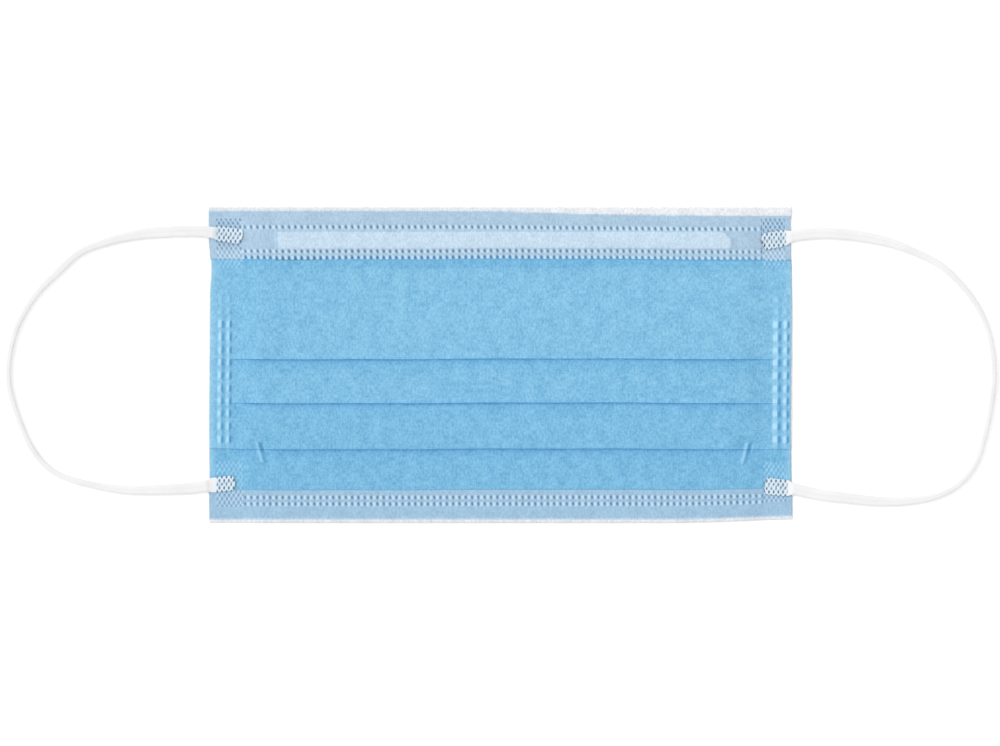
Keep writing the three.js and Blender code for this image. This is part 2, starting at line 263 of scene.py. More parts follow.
class Finish:
    """A material under construction, with one-line calls for its nodes."""

    def __init__(self, name):
        self.material = bpy.data.materials.new(name)
        self.material.use_nodes = True
        self.tree = self.material.node_tree
        self.shader = self.tree.nodes["Principled BSDF"]

    def node(self, kind, **settings):
        made = self.tree.nodes.new(kind)
        for key, value in settings.items():
            setattr(made, key, value)
        return made

    def link(self, source, target):
        self.tree.links.new(source, target)

    def feed(self, socket, value):
        """Links the value to the socket if it is a socket too, and sets it there otherwise."""
        if isinstance(value, bpy.types.NodeSocket):
            self.link(value, socket)
        else:
            socket.default_value = value

    def surface(self, **values):
        """Feeds the shader: each name is a socket's, with its spaces written as underscores."""
        for name, value in values.items():
            self.feed(self.shader.inputs[name.replace("_", " ")], value)

    def math(self, operation, first, second=0.0, clamp=False):
        made = self.node("ShaderNodeMath", operation=operation, use_clamp=clamp)
        self.feed(made.inputs[0], first)
        self.feed(made.inputs[1], second)
        return made.outputs[0]

    def ramp(self, value, start, end, low=0.0, high=1.0):
        """The value's way from start to end as an even curve from low to high."""
        made = self.node("ShaderNodeMapRange", interpolation_type="SMOOTHSTEP")
        self.feed(made.inputs["Value"], value)
        made.inputs["From Min"].default_value = start
        made.inputs["From Max"].default_value = end
        made.inputs["To Min"].default_value = low
        made.inputs["To Max"].default_value = high
        return made.outputs["Result"]

    def mix(self, share, first, second, blend="MIX"):
        """Mixes two colours; a colour may be a socket or three numbers."""
        made = self.node("ShaderNodeMix", data_type="RGBA", blend_type=blend)
        self.feed(made.inputs["Factor"], share)
        for place, colour in ((MIX_FIRST, first), (MIX_SECOND, second)):
            solid = isinstance(colour, tuple)
            self.feed(made.inputs[place], (*colour, 1.0) if solid else colour)
        return made.outputs[MIX_RESULT]

    def attribute(self, name):
        return self.node("ShaderNodeAttribute", attribute_name=name).outputs["Fac"]

    def place(self, source, cells, turn=0.0):
        """The source's coordinates, turned about Z and counted in cells, so many in a metre."""
        made = self.node("ShaderNodeMapping")
        made.inputs["Scale"].default_value = cells
        made.inputs["Rotation"].default_value = (0.0, 0.0, turn)
        self.link(source, made.inputs["Vector"])
        return made.outputs["Vector"]

    def noise(self, vector, scale=1.0, detail=2.0, roughness=0.5):
        made = self.node("ShaderNodeTexNoise")
        made.inputs["Scale"].default_value = scale
        made.inputs["Detail"].default_value = detail
        made.inputs["Roughness"].default_value = roughness
        self.link(vector, made.inputs["Vector"])
        return made.outputs["Fac"]

    def bump(self, height, distance, strength, below=None):
        made = self.node("ShaderNodeBump")
        made.inputs["Strength"].default_value = strength
        made.inputs["Distance"].default_value = distance
        self.link(height, made.inputs["Height"])
        if below is not None:
            self.link(below, made.inputs["Normal"])
        return made.outputs["Normal"]


# ---------------------------------------------------------------- spunbond cloth

# Where the fibres lie: each lay's turn, and how many cells a strand has along a millimetre.
FIBRE_LAYS = ((0.2, 0.4), (1.0, 0.5), (1.55, 0.35), (2.5, 0.5))
FIBRE_FINENESS = 3.6 / MM
FIBRE_DETAIL = 1.5
FIBRE_EDGE = (0.5, 0.7)
TUFT_CELLS = (1.7 / MM, 0.8 / MM, 1.0)
CLOUD_CELLS = (0.28 / MM, 0.2 / MM, 1.0)
# The small bonds: cells, turn, how far they are scattered, and where their edge is in a cell.
BOND_CELLS = (0.95 / MM, 0.95 / MM, 1.0)
BOND_TURN = 0.785
BOND_SCATTER = 0.35
BOND_EDGE = (0.36, 0.16)
# How much the tufts, the strands and the clouds each lighten the cloth.
TUFT_SHARE = 0.45
STRAND_SHARE = 0.25
CLOUD_SHARE = 0.3
NOISE_SPAN = (0.3, 0.7)
# How rough the cloth is where it is loose and where it is fused, and how fused its bonds are.
LOOSE_ROUGHNESS = 0.86
FUSED_ROUGHNESS = 0.5
BOND_FUSION = 0.5
# The relief of its fibres and of its waves.
STRAND_LOFT = 0.6
FUZZ_HEIGHT = 0.06 * MM
WAVE_HEIGHT = 0.22 * MM
RELIEF_STRENGTH = 0.5

# Each cloth's colours: the two ends of its mottling, its fused colour, and the painted highlight of
# its raised marks.
OUTER_COLOURS = ((0.105, 0.318, 0.51), (0.25, 0.512, 0.695), (0.06, 0.27, 0.5), (0.42, 0.66, 0.8))
LINING_SHADE = (0.55, 0.575, 0.61)
LINING_LIGHT = (0.795, 0.79, 0.785)
LINING_COLOURS = (LINING_SHADE, LINING_LIGHT, (0.5, 0.54, 0.58), (0.76, 0.77, 0.78))
HEM_COLOURS = (LINING_SHADE, LINING_LIGHT, (0.085, 0.2, 0.35), (0.54, 0.7, 0.81))
# What shows through a cloth, and on the outer cloth its painted shade and painted glow: an attribute,
# and the colour that multiplies its own.
# The outer cloth's painted shade, and its painted glow of light passing through the cloth in the
# pleats' gaps.
OUTER_PAINTED_LIGHT = (("snug", (0.78, 0.89, 0.95)), ("tucked", (1.03, 1.6, 1.8)))
HEM_BELOW = (
    ("blue_below", (0.406, 0.624, 0.816)),
    ("strip_below", (0.665, 0.846, 0.985)),
    ("edge_dots", (0.14, 0.43, 0.68)),
)
# How strongly each cloth's bonds show.
OUTER_BONDS = 0.14
LINING_BONDS = 0.25
HEM_BONDS = 0.05


def spun_fibres(finish, cloth):
    """Fine fibres laid at every angle, as a strand pattern, small tufts and a slow cloudiness."""
    strands = None
    for turn, stretch in FIBRE_LAYS:
        laid = finish.place(cloth, (stretch / MM, FIBRE_FINENESS, 1.0), turn)
        strand = finish.ramp(finish.noise(laid, detail=FIBRE_DETAIL), *FIBRE_EDGE)
        strands = strand if strands is None else finish.math("MAXIMUM", strands, strand)
    tufts = finish.noise(finish.place(cloth, TUFT_CELLS), detail=1.0, roughness=0.6)
    clouds = finish.noise(finish.place(cloth, CLOUD_CELLS), detail=3.0, roughness=0.65)
    return strands, tufts, clouds


def bond_points(finish, cloth):
    """The small diamond points that hold the fibres together, in slanting rows."""
    made = finish.node("ShaderNodeTexVoronoi", voronoi_dimensions="2D", distance="MANHATTAN")
    made.inputs["Scale"].default_value = 1.0
    made.inputs["Randomness"].default_value = BOND_SCATTER
    finish.link(finish.place(cloth, BOND_CELLS, BOND_TURN), made.inputs["Vector"])
    return finish.ramp(made.outputs["Distance"], *BOND_EDGE)


def nonwoven(name, colours, bonds, below=()):
    """Spunbond cloth in its own colours, with its marks, its painted highlight and its painted shade
    and glow read from the piece's attributes.
    """
    shade, light, weld, puff = colours
    finish = Finish(name)
    cloth = finish.node("ShaderNodeUVMap", uv_map="cloth").outputs["UV"]
    strands, tufts, clouds = spun_fibres(finish, cloth)
    points = bond_points(finish, cloth)
    pressed = finish.attribute("pressed")
    mottle = finish.math("MULTIPLY", finish.ramp(tufts, *NOISE_SPAN), TUFT_SHARE)
    drift = finish.math("MULTIPLY", finish.ramp(clouds, *NOISE_SPAN), CLOUD_SHARE)
    tone = finish.math("ADD", mottle, finish.math("MULTIPLY", strands, STRAND_SHARE))
    colour = finish.mix(finish.math("ADD", tone, drift, clamp=True), shade, light)
    # Each tint multiplies the colour: on the hems the cloth below shows through; on the outer cloth
    # painted shade darkens it and a painted glow lightens it.
    for attribute, tint in below:
        colour = finish.mix(finish.attribute(attribute), colour, tint, "MULTIPLY")
    colour = finish.mix(finish.math("MULTIPLY", points, bonds), colour, weld)
    # Raised marks take a painted highlight, and the body's very edge is paler.
    colour = finish.mix(finish.attribute("puffed"), colour, puff)
    colour = finish.mix(pressed, colour, weld)
    fused_share = finish.math("MAXIMUM", pressed, finish.math("MULTIPLY", points, BOND_FUSION))
    loft = finish.math("SUBTRACT", finish.math("MULTIPLY", strands, STRAND_LOFT), points)
    fuzz = finish.bump(loft, FUZZ_HEIGHT, RELIEF_STRENGTH)
    waves = finish.bump(finish.math("ADD", tufts, clouds), WAVE_HEIGHT, RELIEF_STRENGTH, fuzz)
    finish.surface(
        Base_Color=colour,
        Roughness=finish.ramp(fused_share, 0.0, 1.0, LOOSE_ROUGHNESS, FUSED_ROUGHNESS),
        Normal=waves,
        Specular_IOR_Level=0.25,
        Sheen_Weight=0.1,
        Sheen_Roughness=0.6,
    )
    return finish.material


# ---------------------------------------------------------------- floor, elastic and strip finishes

PER_MM = (1.0 / MM, 1.0 / MM, 1.0 / MM)
PAPER_CELLS = (1.0 / MM, 1.0 / MM, 1.0)
PAPER_SCALE = 0.2
PAPER_SHADE = (0.965, 0.965, 0.965)
PAPER_LIGHT = (0.98, 0.98, 0.98)

YARN_SCALE = 5.0
SLOW_SCALE = 0.12
ELASTIC_SPAN = (0.35, 0.65)
ELASTIC_SHADE = (0.67, 0.67, 0.678)
ELASTIC_LIGHT = (0.73, 0.73, 0.733)
GROOVE_SHADE = (0.6, 0.61, 0.63)
GROOVE_SHARE = 0.3
# The melted elastic lets the blue below tint it, and its dots are nearly as dark as the hem's.
MELTED_TINT = (0.83, 0.97, 1.05)
MELTED_DOT = (0.06, 0.145, 0.25)
YARN_HEIGHT = 0.06 * MM

DRAWN_CELLS = (0.08 / MM, 3.0 / MM, 1.0 / MM)
PLASTIC_SHADE = (0.78, 0.8, 0.82)
PLASTIC_LIGHT = (0.88, 0.89, 0.9)
PLASTIC_ROUGHNESS = (0.35, 0.5)
DRAWN_HEIGHT = 0.03 * MM


def floor_finish():
    """Matt white paper, very slightly uneven in tone."""
    finish = Finish("floor_paper")
    spot = finish.node("ShaderNodeTexCoord").outputs["Object"]
    tone = finish.noise(finish.place(spot, PAPER_CELLS), PAPER_SCALE)
    colour = finish.mix(tone, PAPER_SHADE, PAPER_LIGHT)
    finish.surface(Base_Color=colour, Roughness=0.9, Specular_IOR_Level=0.1)
    return finish.material


def elastic_finish():
    """White knitted elastic, with painted shade in its grooves, and melted where it is welded."""
    finish = Finish("white_elastic")
    spot = finish.node("ShaderNodeTexCoord").outputs["Object"]
    millimetres = finish.place(spot, PER_MM)
    fine = finish.noise(millimetres, YARN_SCALE)
    slow = finish.noise(millimetres, SLOW_SCALE)
    halves = finish.math("MULTIPLY", fine, 0.5), finish.math("MULTIPLY", slow, 0.5)
    tone = finish.ramp(finish.math("ADD", *halves), *ELASTIC_SPAN)
    colour = finish.mix(tone, ELASTIC_SHADE, ELASTIC_LIGHT)
    # Painted shade in the knit's grooves.
    groove = finish.math("MULTIPLY", finish.attribute("groove"), GROOVE_SHARE)
    colour = finish.mix(groove, colour, GROOVE_SHADE)
    colour = finish.mix(finish.attribute("welded"), colour, MELTED_TINT, "MULTIPLY")
    colour = finish.mix(finish.attribute("pressed"), colour, MELTED_DOT)
    finish.surface(
        Base_Color=colour,
        Normal=finish.bump(fine, YARN_HEIGHT, 0.5),
        Roughness=0.75,
        Specular_IOR_Level=0.25,
        Sheen_Weight=0.15,
    )
    return finish.material


def strip_finish():
    """Off-white drawn plastic, with faint lines along its length."""
    finish = Finish("strip_plastic")
    spot = finish.node("ShaderNodeTexCoord").outputs["Object"]
    lines = finish.noise(finish.place(spot, DRAWN_CELLS))
    finish.surface(
        Base_Color=finish.mix(lines, PLASTIC_SHADE, PLASTIC_LIGHT),
        Roughness=finish.ramp(lines, *NOISE_SPAN, *PLASTIC_ROUGHNESS),
        Normal=finish.bump(lines, DRAWN_HEIGHT, 0.4),
    )
    return finish.material


# ---------------------------------------------------------------- shaping helpers


def smooth(value, start, end):
    """0 before start, 1 after end, and an even curve between."""
    t = np.clip((value - start) / (end - start), 0.0, 1.0)
    return t * t * (3.0 - 2.0 * t)


def within(value, start, end, soft):
    """1 between start and end, falling to 0 over the soft width outside them."""
    return smooth(value, start - soft, start) * (1.0 - smooth(value, end, end + soft))


def mixed(first, second, share):
    """Share 0 gives the first value and 1 the second."""
    return first + (second - first) * share


# ---------------------------------------------------------------- weld dots and corner meshes

# A dot is pressed fully inside the first share of its half size, and not at all past the second.
DOT_EDGE = (0.55, 1.4)
DOT_SLANT = -0.14
DOT_DEPTH = 0.34 * MM
FAINT_DOT_DEPTH = 0.1
SEAM_DEPTH = 0.1 * MM
# The swelling between dots: its height, and where it starts and ends falling beside its row.
PUFF_HEIGHT = 0.1 * MM
PUFF_EDGE = (0.25 * MM, 0.85 * MM)
MESH_FADE = 0.35 * MM
# The mesh's raised lines lie between these shares of a dot's half size.
LATTICE_LINE = (1.0, 1.7)
# The corner meshes are deep above the first span and, in part, below the second; faint elsewhere.
NOSE_DEEP = (33.5 * MM, 36.0 * MM)
CHIN_DEEP = (-36.0 * MM, -38.5 * MM)
CHIN_DEEP_SHARE = 0.35
FAINT_MESH = (0.45, 0.75)
DEEP_MESH = (1.0, 0.3)


def between_dots(x):
    """0 at each weld dot along X, and 1 halfway to the next."""
    return 0.5 - 0.5 * np.cos(2 * math.pi * (x - DOT_PHASE) / DOT_PITCH)


def dot_row(x, y, row, phase=DOT_PHASE):
    """How far the cloth is pressed, 0 to 1, by one row of weld dots along X."""
    sideways = x - phase - DOT_SLANT * (y - row)
    sideways = np.mod(sideways + DOT_PITCH / 2, DOT_PITCH) - DOT_PITCH / 2
    reach = np.hypot(sideways / DOT_HALF[0], (y - row) / DOT_HALF[1])
    inside = (x > DOT_SPAN[0]) & (x < DOT_SPAN[1])
    return np.where(inside, 1.0 - smooth(reach, *DOT_EDGE), 0.0)


def puff_row(x, y, row):
    """How far the cloth swells, 0 to 1, between the dots of one row."""
    inside = (x > DOT_SPAN[0]) & (x < DOT_SPAN[1])
    beside = 1.0 - smooth(np.abs(y - row), *PUFF_EDGE)
    return np.where(inside, between_dots(x) * beside, 0.0)


def corner_lattice(x, y, weld):
    """The diamond mesh of one corner weld: how far it is pressed, and its raised lines."""
    left, right, low, high = weld
    along = (x - left) / LATTICE_PITCH
    down = (high - y) / (2 * LATTICE_ROW)
    first = np.mod(along + down + 0.5, 1.0) - 0.5
    second = np.mod(along - down + 0.5, 1.0) - 0.5
    sideways = (first + second) / 2 * LATTICE_PITCH
    away = (first - second) * LATTICE_ROW
    reach = np.hypot(sideways / LATTICE_HALF[0], away / LATTICE_HALF[1])
    mesh = within(x, left, right, MESH_FADE) * within(y, low, high, MESH_FADE)
    return mesh * (1.0 - smooth(reach, *DOT_EDGE)), mesh * smooth(reach, *LATTICE_LINE)


def corner_marks(x, y):
    """All four corner welds: how far their meshes are pressed, and their raised lines."""
    pressed = np.zeros_like(x)
    raised = np.zeros_like(x)
    for weld in CORNER_WELDS:
        dots, lines = corner_lattice(x, y, weld)
        pressed = np.maximum(pressed, dots)
        raised = np.maximum(raised, lines)
    deep = np.maximum(smooth(y, *NOSE_DEEP), CHIN_DEEP_SHARE * smooth(y, *CHIN_DEEP))
    pressed = pressed * mixed(FAINT_MESH[0], DEEP_MESH[0], deep)
    return pressed, raised * mixed(FAINT_MESH[1], DEEP_MESH[1], deep)


def top_rows(x):
    """The height of each top row of dots at each x."""
    rightwards = smooth(x, *DROOP_SPAN)
    return [row - droop * rightwards for row, droop in zip(TOP_DOT_ROWS, TOP_ROW_DROOPS)]


def weld_press(x, y):
    """All the dots that are pressed through the whole body, 0 to 1."""
    pressed = corner_marks(x, y)[0]
    for row in (*top_rows(x), *BOTTOM_DOT_ROWS):
        pressed = np.maximum(pressed, dot_row(x, y, row))
    for row in FAINT_DOT_ROWS:
        faint = dot_row(x, y, row, DOT_PHASE + DOT_PITCH / 2)
        pressed = np.maximum(pressed, FAINT_DOT_DEPTH * faint)
    return pressed


def puff_swell(x, y, edge_share):
    """All the swellings between the weld dots, 0 to 1, with edge_share of it along the flap's edge."""
    swollen = corner_marks(x, y)[1]
    first, second, edge = top_rows(x)
    for row in (first, second, *BOTTOM_DOT_ROWS):
        swollen = np.maximum(swollen, puff_row(x, y, row))
    return np.maximum(swollen, edge_share * puff_row(x, y, edge))


# ---------------------------------------------------------------- side dashes and tacks

# A mark's climb ends and its drop starts here, across its steep face, and this is the drop's width.
CREST = (-0.15 * MM, -0.1 * MM)
DROP_WIDTH = 0.62 * MM
FACE_START = 0.12 * MM
FACE_FADE = 0.22 * MM
SIDE_DASH_HEIGHT = 0.46 * MM
# A dash is at its full height within the first share of its half length, and ends at the second.
DASH_ENDS = (0.55, 1.3)
# The painted highlight on a dash's slope, which faces the lamp: how much of the slope it covers and
# how softly it ends; then the seam's height, and the highlight's strength along the seam, as shares.
HIGHLIGHT_SLOPE_SHARE = 0.8
HIGHLIGHT_SLOPE_FADE = 0.4 * MM
SEAM_HEIGHT_SHARE = 0.3
SEAM_HIGHLIGHT_SHARE = 0.35
# A tack: its height, its ends as shares of its length, its slope, its drop and its fused band, painted
# with shade too.
TACK_HEIGHT = 0.45 * MM
TACK_ENDS = (0.05, 0.85, 0.12)
TACK_SLOPE = 1.3 * MM
TACK_DROP = 0.9 * MM
TACK_FACE_END = 1.0 * MM
TACK_FADING = (0.3, 0.6)
TACK_FADING_SHARE = 0.6
# Where a tack's painted highlight lies on its near flank and on its far flank, how strong the far one
# is and where it fades.
TACK_FLANK = (-0.8 * MM, -0.2 * MM, 0.35 * MM)
TACK_FAR_FLANK = (1.3 * MM, 1.7 * MM, 0.3 * MM)
TACK_FAR_SHARE = 0.6
TACK_FAR_FADING = (0.2, 0.5)
TACK_FLAT_REACH = (3.0 * MM, 3.5 * MM)


def ridge(across, slope, drop=DROP_WIDTH):
    """A raised weld mark that climbs gently from -slope and drops steeply after 0."""
    return smooth(across, -slope, CREST[0]) * (1.0 - smooth(across, CREST[1], drop))


def steep_face(across, end):
    """1 on a mark's steep face, where the layers are fused and painted shade lies on the side away
    from the lamp.
    """
    return within(across, FACE_START, end, FACE_FADE)


def dash_strength(y):
    """1 at each side dash and 0 between them; the uppermost are faint."""
    strength = np.zeros_like(y)
    full, gone = (share * SIDE_DASH_HALF for share in DASH_ENDS)
    for count in range(SIDE_DASH_COUNT):
        centre = SIDE_DASH_TOP - count * SIDE_DASH_PITCH
        dash = 1.0 - smooth(np.abs(y - centre), full, gone)
        strength = np.maximum(strength, dash * (FAINT_SHARE if count < FAINT_DASHES else 1.0))
    return strength


def side_dashes(x, y):
    """The marks along both side seals: their height, their steep faces, fused and painted with shade,
    and their slopes, painted with a highlight.
    """
    dashes = dash_strength(y)
    seam = within(y, *SEAM_SPAN, SEAM_FADE)
    height = np.zeros_like(x)
    face = np.zeros_like(x)
    slope = np.zeros_like(x)
    for column, reach, face_end, pale in SIDE_DASH_COLUMNS:
        across = x - column
        flank = within(across, -reach * HIGHLIGHT_SLOPE_SHARE, CREST[0], HIGHLIGHT_SLOPE_FADE)
        raised = np.maximum(dashes, SEAM_HEIGHT_SHARE * seam)
        height = np.maximum(height, raised * ridge(across, reach))
        face = np.maximum(face, dashes * steep_face(across, face_end))
        slope = np.maximum(slope, np.maximum(pale * dashes, SEAM_HIGHLIGHT_SHARE * seam) * flank)
    return height, face, slope


def tack_marks(x, y):
    """The slanting marks that hold the last pleat: height, steep face, fused and painted with shade,
    and slope, painted with a highlight.
    """
    height = np.zeros_like(x)
    face = np.zeros_like(x)
    slope = np.zeros_like(x)
    for start, end in TACKS:
        share = (start[1] - y) / (start[1] - end[1])
        across = x - mixed(start[0], end[0], share)
        ends = within(share, *TACK_ENDS)
        height = np.maximum(height, ends * ridge(across, TACK_SLOPE, TACK_DROP))
        strong = ends * (1.0 - TACK_FADING_SHARE * smooth(share, *TACK_FADING))
        face = np.maximum(face, strong * steep_face(across, TACK_FACE_END))
        far_flank = TACK_FAR_SHARE * within(across, *TACK_FAR_FLANK)
        far_flank = far_flank * (1.0 - smooth(share, *TACK_FAR_FADING))
        slope = np.maximum(slope, ends * np.maximum(within(across, *TACK_FLANK), far_flank))
    return height, face, slope


def tack_flattening(x, y):
    """1 beside the tacks, where the last pleat is pressed nearly flat."""
    near = np.zeros_like(x)
    for start, end in TACKS:
        away_x = (x - (start[0] + end[0]) / 2) / TACK_FLAT_REACH[0]
        away_y = (y - PLEAT_EDGES[-1]) / TACK_FLAT_REACH[1]
        near = np.maximum(near, np.exp(-away_x ** 2 - away_y ** 2))
    return near


# ---------------------------------------------------------------- how the whole body is pressed

FUSED_FADE = 1.0 * MM
MELT_FADE = 1.3 * MM
# Towards its sides the body loses this share of its height, and beside the tacks this much more.
SIDE_SQUEEZE = 0.7
SQUEEZE_SPAN = (71.0 * MM, 81.5 * MM)
TACK_SQUEEZE = 0.5
# In the seals the plies melt towards one level; how soon they reach it, and what is left above.
MELTED_LEVEL = 0.42 * MM
MELTED_RUN = 0.34 * MM
MELTED_REST = 0.03
MELTED_PILE = (-19.0 * MM, 14.0 * MM, 4.0 * MM)
# The laid cloth's waves: lengths along X and Y, then swing and phase, or phase and share.
UNEVENNESS = 0.07
SWINGING_WAVE = (9.1 * MM, 13.0 * MM, 1.3, 0.4)
SLANTING_WAVES = ((5.3 * MM, -7.7 * MM, 2.1, 0.6), (17.0 * MM, 6.1 * MM, 4.0, 0.8))
# A crease under the upper hem, and the height by which the marks have all their relief.
CREASE_Y = 28.8 * MM
CREASE_HEIGHT = 0.1 * MM
CREASE_EDGE = (0.1 * MM, 0.6 * MM)
FULL_RELIEF_HEIGHT = 0.5 * MM
STRIP_CUT = 2.2 * MM


def fused(x, fade=FUSED_FADE):
    """1 in the side seals, where every ply is melted together."""
    left = 1.0 - smooth(x, FUSED_LEFT - fade, FUSED_LEFT + fade)
    right = smooth(x, FUSED_RIGHT - fade, FUSED_RIGHT + fade)
    return np.maximum(left, right)


def pressed_height(x, y, z):
    """The height that the body keeps at z: all of it inside, less towards the fused sides.

    In the seals the pile of plies melts to nearly one level, except at the last pleat.
    """
    squeezed = z * (1.0 - SIDE_SQUEEZE * smooth(np.abs(x), *SQUEEZE_SPAN))
    squeezed = squeezed * (1.0 - TACK_SQUEEZE * tack_flattening(x, y))
    melted = MELTED_LEVEL * (1.0 - np.exp(-z / MELTED_RUN)) + MELTED_REST * z
    return mixed(squeezed, melted, fused(x, MELT_FADE) * within(y, *MELTED_PILE))


def slow_waves(x, y):
    """A gentle unevenness of the laid cloth, about -1 to 1."""
    across, down, swing, phase = SWINGING_WAVE
    waves = np.sin(x / across + swing * np.sin(y / down + phase))
    total = 1.0
    for across, down, phase, share in SLANTING_WAVES:
        waves = waves + share * np.sin(x / across + y / down + phase)
        total += share
    return waves / total


def strip_cover(x, y, slope):
    """1 over the nose strip, falling to 0 beside it; its upper right corner is cut off."""
    to_right = x - (STRIP_CENTRE_X + STRIP_HALF_LENGTH)
    to_top = y - (STRIP_CENTRE_Y + STRIP_HALF_WIDTH)
    beside_x = np.maximum(np.abs(x - STRIP_CENTRE_X) - STRIP_HALF_LENGTH, 0.0)
    beside_y = np.maximum(np.abs(y - STRIP_CENTRE_Y) - STRIP_HALF_WIDTH, 0.0)
    past_cut = np.maximum(to_right + to_top + STRIP_CUT, 0.0) / math.sqrt(2.0)
    away = np.maximum(np.hypot(beside_x, beside_y), past_cut)
    return 1.0 - smooth(away, 0.0, slope)


def relief(x, y, z):
    """How far the side dashes, the tacks and the crease stand up from the cloth at height z."""
    dashes = SIDE_DASH_HEIGHT * side_dashes(x, y)[0]
    tacks = TACK_HEIGHT * tack_marks(x, y)[0]
    crease = CREASE_HEIGHT * (1.0 - smooth(np.abs(y - CREASE_Y), *CREASE_EDGE))
    share = np.clip(z / FULL_RELIEF_HEIGHT, 0.0, 1.0)
    return (dashes + tacks + crease * (1.0 - fused(x))) * share


# ---------------------------------------------------------------- how the outline wanders

# The pleats' edges wander: each wave's height, length and phase, and where they stop.
WANDER_WAVES = ((0.13 * MM, 21.0 * MM, 0.7), (0.05 * MM, 6.4 * MM, 2.2))
WANDER_SPAN = (45.0 * MM, 32.0 * MM)
# The lower right corner is pulled up.
CORNER_RISE = 1.1 * MM
CORNER_RISE_SPAN = (50.0 * MM, 95.0 * MM)
CORNER_RISE_HEIGHT = 20.0 * MM
# Both sides are drawn in at the upper welds, and sway gently all along.
SIDE_START = 60.0 * MM
WAIST_LEFT = 0.5 * MM
WAIST_LEFT_Y = 29.0 * MM
WAIST_LEFT_REACH = 5.0 * MM
WAIST_RIGHT = 0.35 * MM
WAIST_RIGHT_SPAN = (33.0 * MM, 43.0 * MM, 3.0 * MM)
SWAY = 0.12 * MM
SWAY_LENGTH = 11.0 * MM


def wander(x, y):
    """How far the cloth has slipped up at each place."""
    slip = sum(size * np.sin(x / length + phase) for size, length, phase in WANDER_WAVES)
    chin = smooth(-y, -CHIN_EDGE - CORNER_RISE_HEIGHT, -CHIN_EDGE)
    rise_here = CORNER_RISE * smooth(x, *CORNER_RISE_SPAN) * chin
    return slip * smooth(np.abs(y), *WANDER_SPAN) + rise_here


def waist(x, y):
    """How far the cloth has moved to the right at each place."""
    pull_left = WAIST_LEFT * np.exp(-((y - WAIST_LEFT_Y) / WAIST_LEFT_REACH) ** 2)
    pull_right = WAIST_RIGHT * within(y, *WAIST_RIGHT_SPAN)
    sway = SWAY * np.sin(y / SWAY_LENGTH) * smooth(np.abs(x), SIDE_START, HALF_WIDTH)
    left_side = smooth(-x, SIDE_START, HALF_WIDTH)
    right_side = smooth(x, SIDE_START, HALF_WIDTH)
    return pull_left * left_side - pull_right * right_side + sway


def settle(x, y, z, marks):
    """Presses, waves and trims that act on the whole folded body at once."""
    height = pressed_height(x, y, z) * (1.0 + UNEVENNESS * slow_waves(x, y))
    if marks:
        height = height + relief(x, y, z)
    return x + waist(x, y), y + wander(x, y), height + CLEARANCE


# ---------------------------------------------------------------- sheets of cloth


def unit_sheet(columns, rows):
    """A flat closed sheet one unit thick, as (mesh, column, row, side) with side 1 on its front."""
    build = bmesh.new()
    bmesh.ops.create_grid(build, x_segments=columns - 1, y_segments=rows - 1, size=0.5)
    bmesh.ops.solidify(build, geom=build.faces[:], thickness=1.0)
    bmesh.ops.recalc_face_normals(build, faces=build.faces[:])
    mesh = bpy.data.meshes.new("cloth")
    build.to_mesh(mesh)
    build.free()
    places = vertex_places(mesh)
    column = np.rint((places[:, 0] + 0.5) * (columns - 1)).astype(int)
    row = np.rint((0.5 - places[:, 1]) * (rows - 1)).astype(int)
    side = (places[:, 2] > places[:, 2].mean()).astype(float)
    return mesh, column, row, side


def vertex_places(mesh):
    places = np.empty(len(mesh.vertices) * 3)
    mesh.vertices.foreach_get("co", places)
    return places.reshape(-1, 3)


def move_vertices(mesh, x, y, z):
    mesh.vertices.foreach_set("co", np.stack([x, y, z], axis=1).ravel())


def add_uv(mesh, u, v):
    """The cloth's own coordinates, in metres along the flat sheet."""
    layer = mesh.uv_layers.new(name="cloth")
    corners = np.empty(len(mesh.loops), dtype=np.int32)
    mesh.loops.foreach_get("vertex_index", corners)
    layer.data.foreach_set("uv", np.stack([u[corners], v[corners]], axis=1).ravel())


def add_attributes(mesh, **values):
    for name, value in values.items():
        layer = mesh.attributes.new(name, "FLOAT", "POINT")
        layer.data.foreach_set("value", np.asarray(value, dtype=np.float32))


def add_piece(name, mesh, finish, node):
    """A finished piece in the scene, standing for its node."""
    mesh.name = name
    thing = bpy.data.objects.new(name, mesh)
    bpy.context.scene.collection.objects.link(thing)
    mesh.materials.append(finish)
    mesh.shade_smooth()
    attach(thing, "root")
    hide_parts(node)
    return thing


class Profile:
    """A line of (y, z) points with the laminate's half thickness, from the nose edge down."""

    def __init__(self):
        self.points = []

    def add(self, y, z, half, shown=1.0):
        """Adds a point; shown is 1 where the outer face can be seen and 0 where it is tucked in."""
        self.points.append((y, z, half, shown))

    def arrays(self):
        """y, z, half, normal y, normal z, length along the cloth and how far it shows, by point."""
        y, z, half, shown = (np.array(values) for values in zip(*self.points))
        along = np.concatenate([[0.0], np.cumsum(np.hypot(np.diff(y), np.diff(z)))])
        dy = np.gradient(y, along)
        dz = np.gradient(z, along)
        size = np.hypot(dy, dz)
        return y, z, half, dz / size, -dy / size, along, shown


# ---------------------------------------------------------------- the pleated profile

# Where the pile of plies starts and ends its climb, above and below each pleat's edge.
RISE_BEFORE = 3.0 * MM
RISE_AFTER = 3.7 * MM
# Where the puffed laminate settles onto the first pleat, from this y to this far above its back.
FIRST_PRESS_Y = 25.0 * MM
FIRST_PRESS_MARGIN = 1.0 * MM
LAST_PUFF_LENGTH = 5.0 * MM
# A tucked ply comes into sight this far above the edge over it, and its rows get finer from here.
SHOWN_MARGIN = 0.4 * MM
HIDDEN_MARGIN = 1.0 * MM
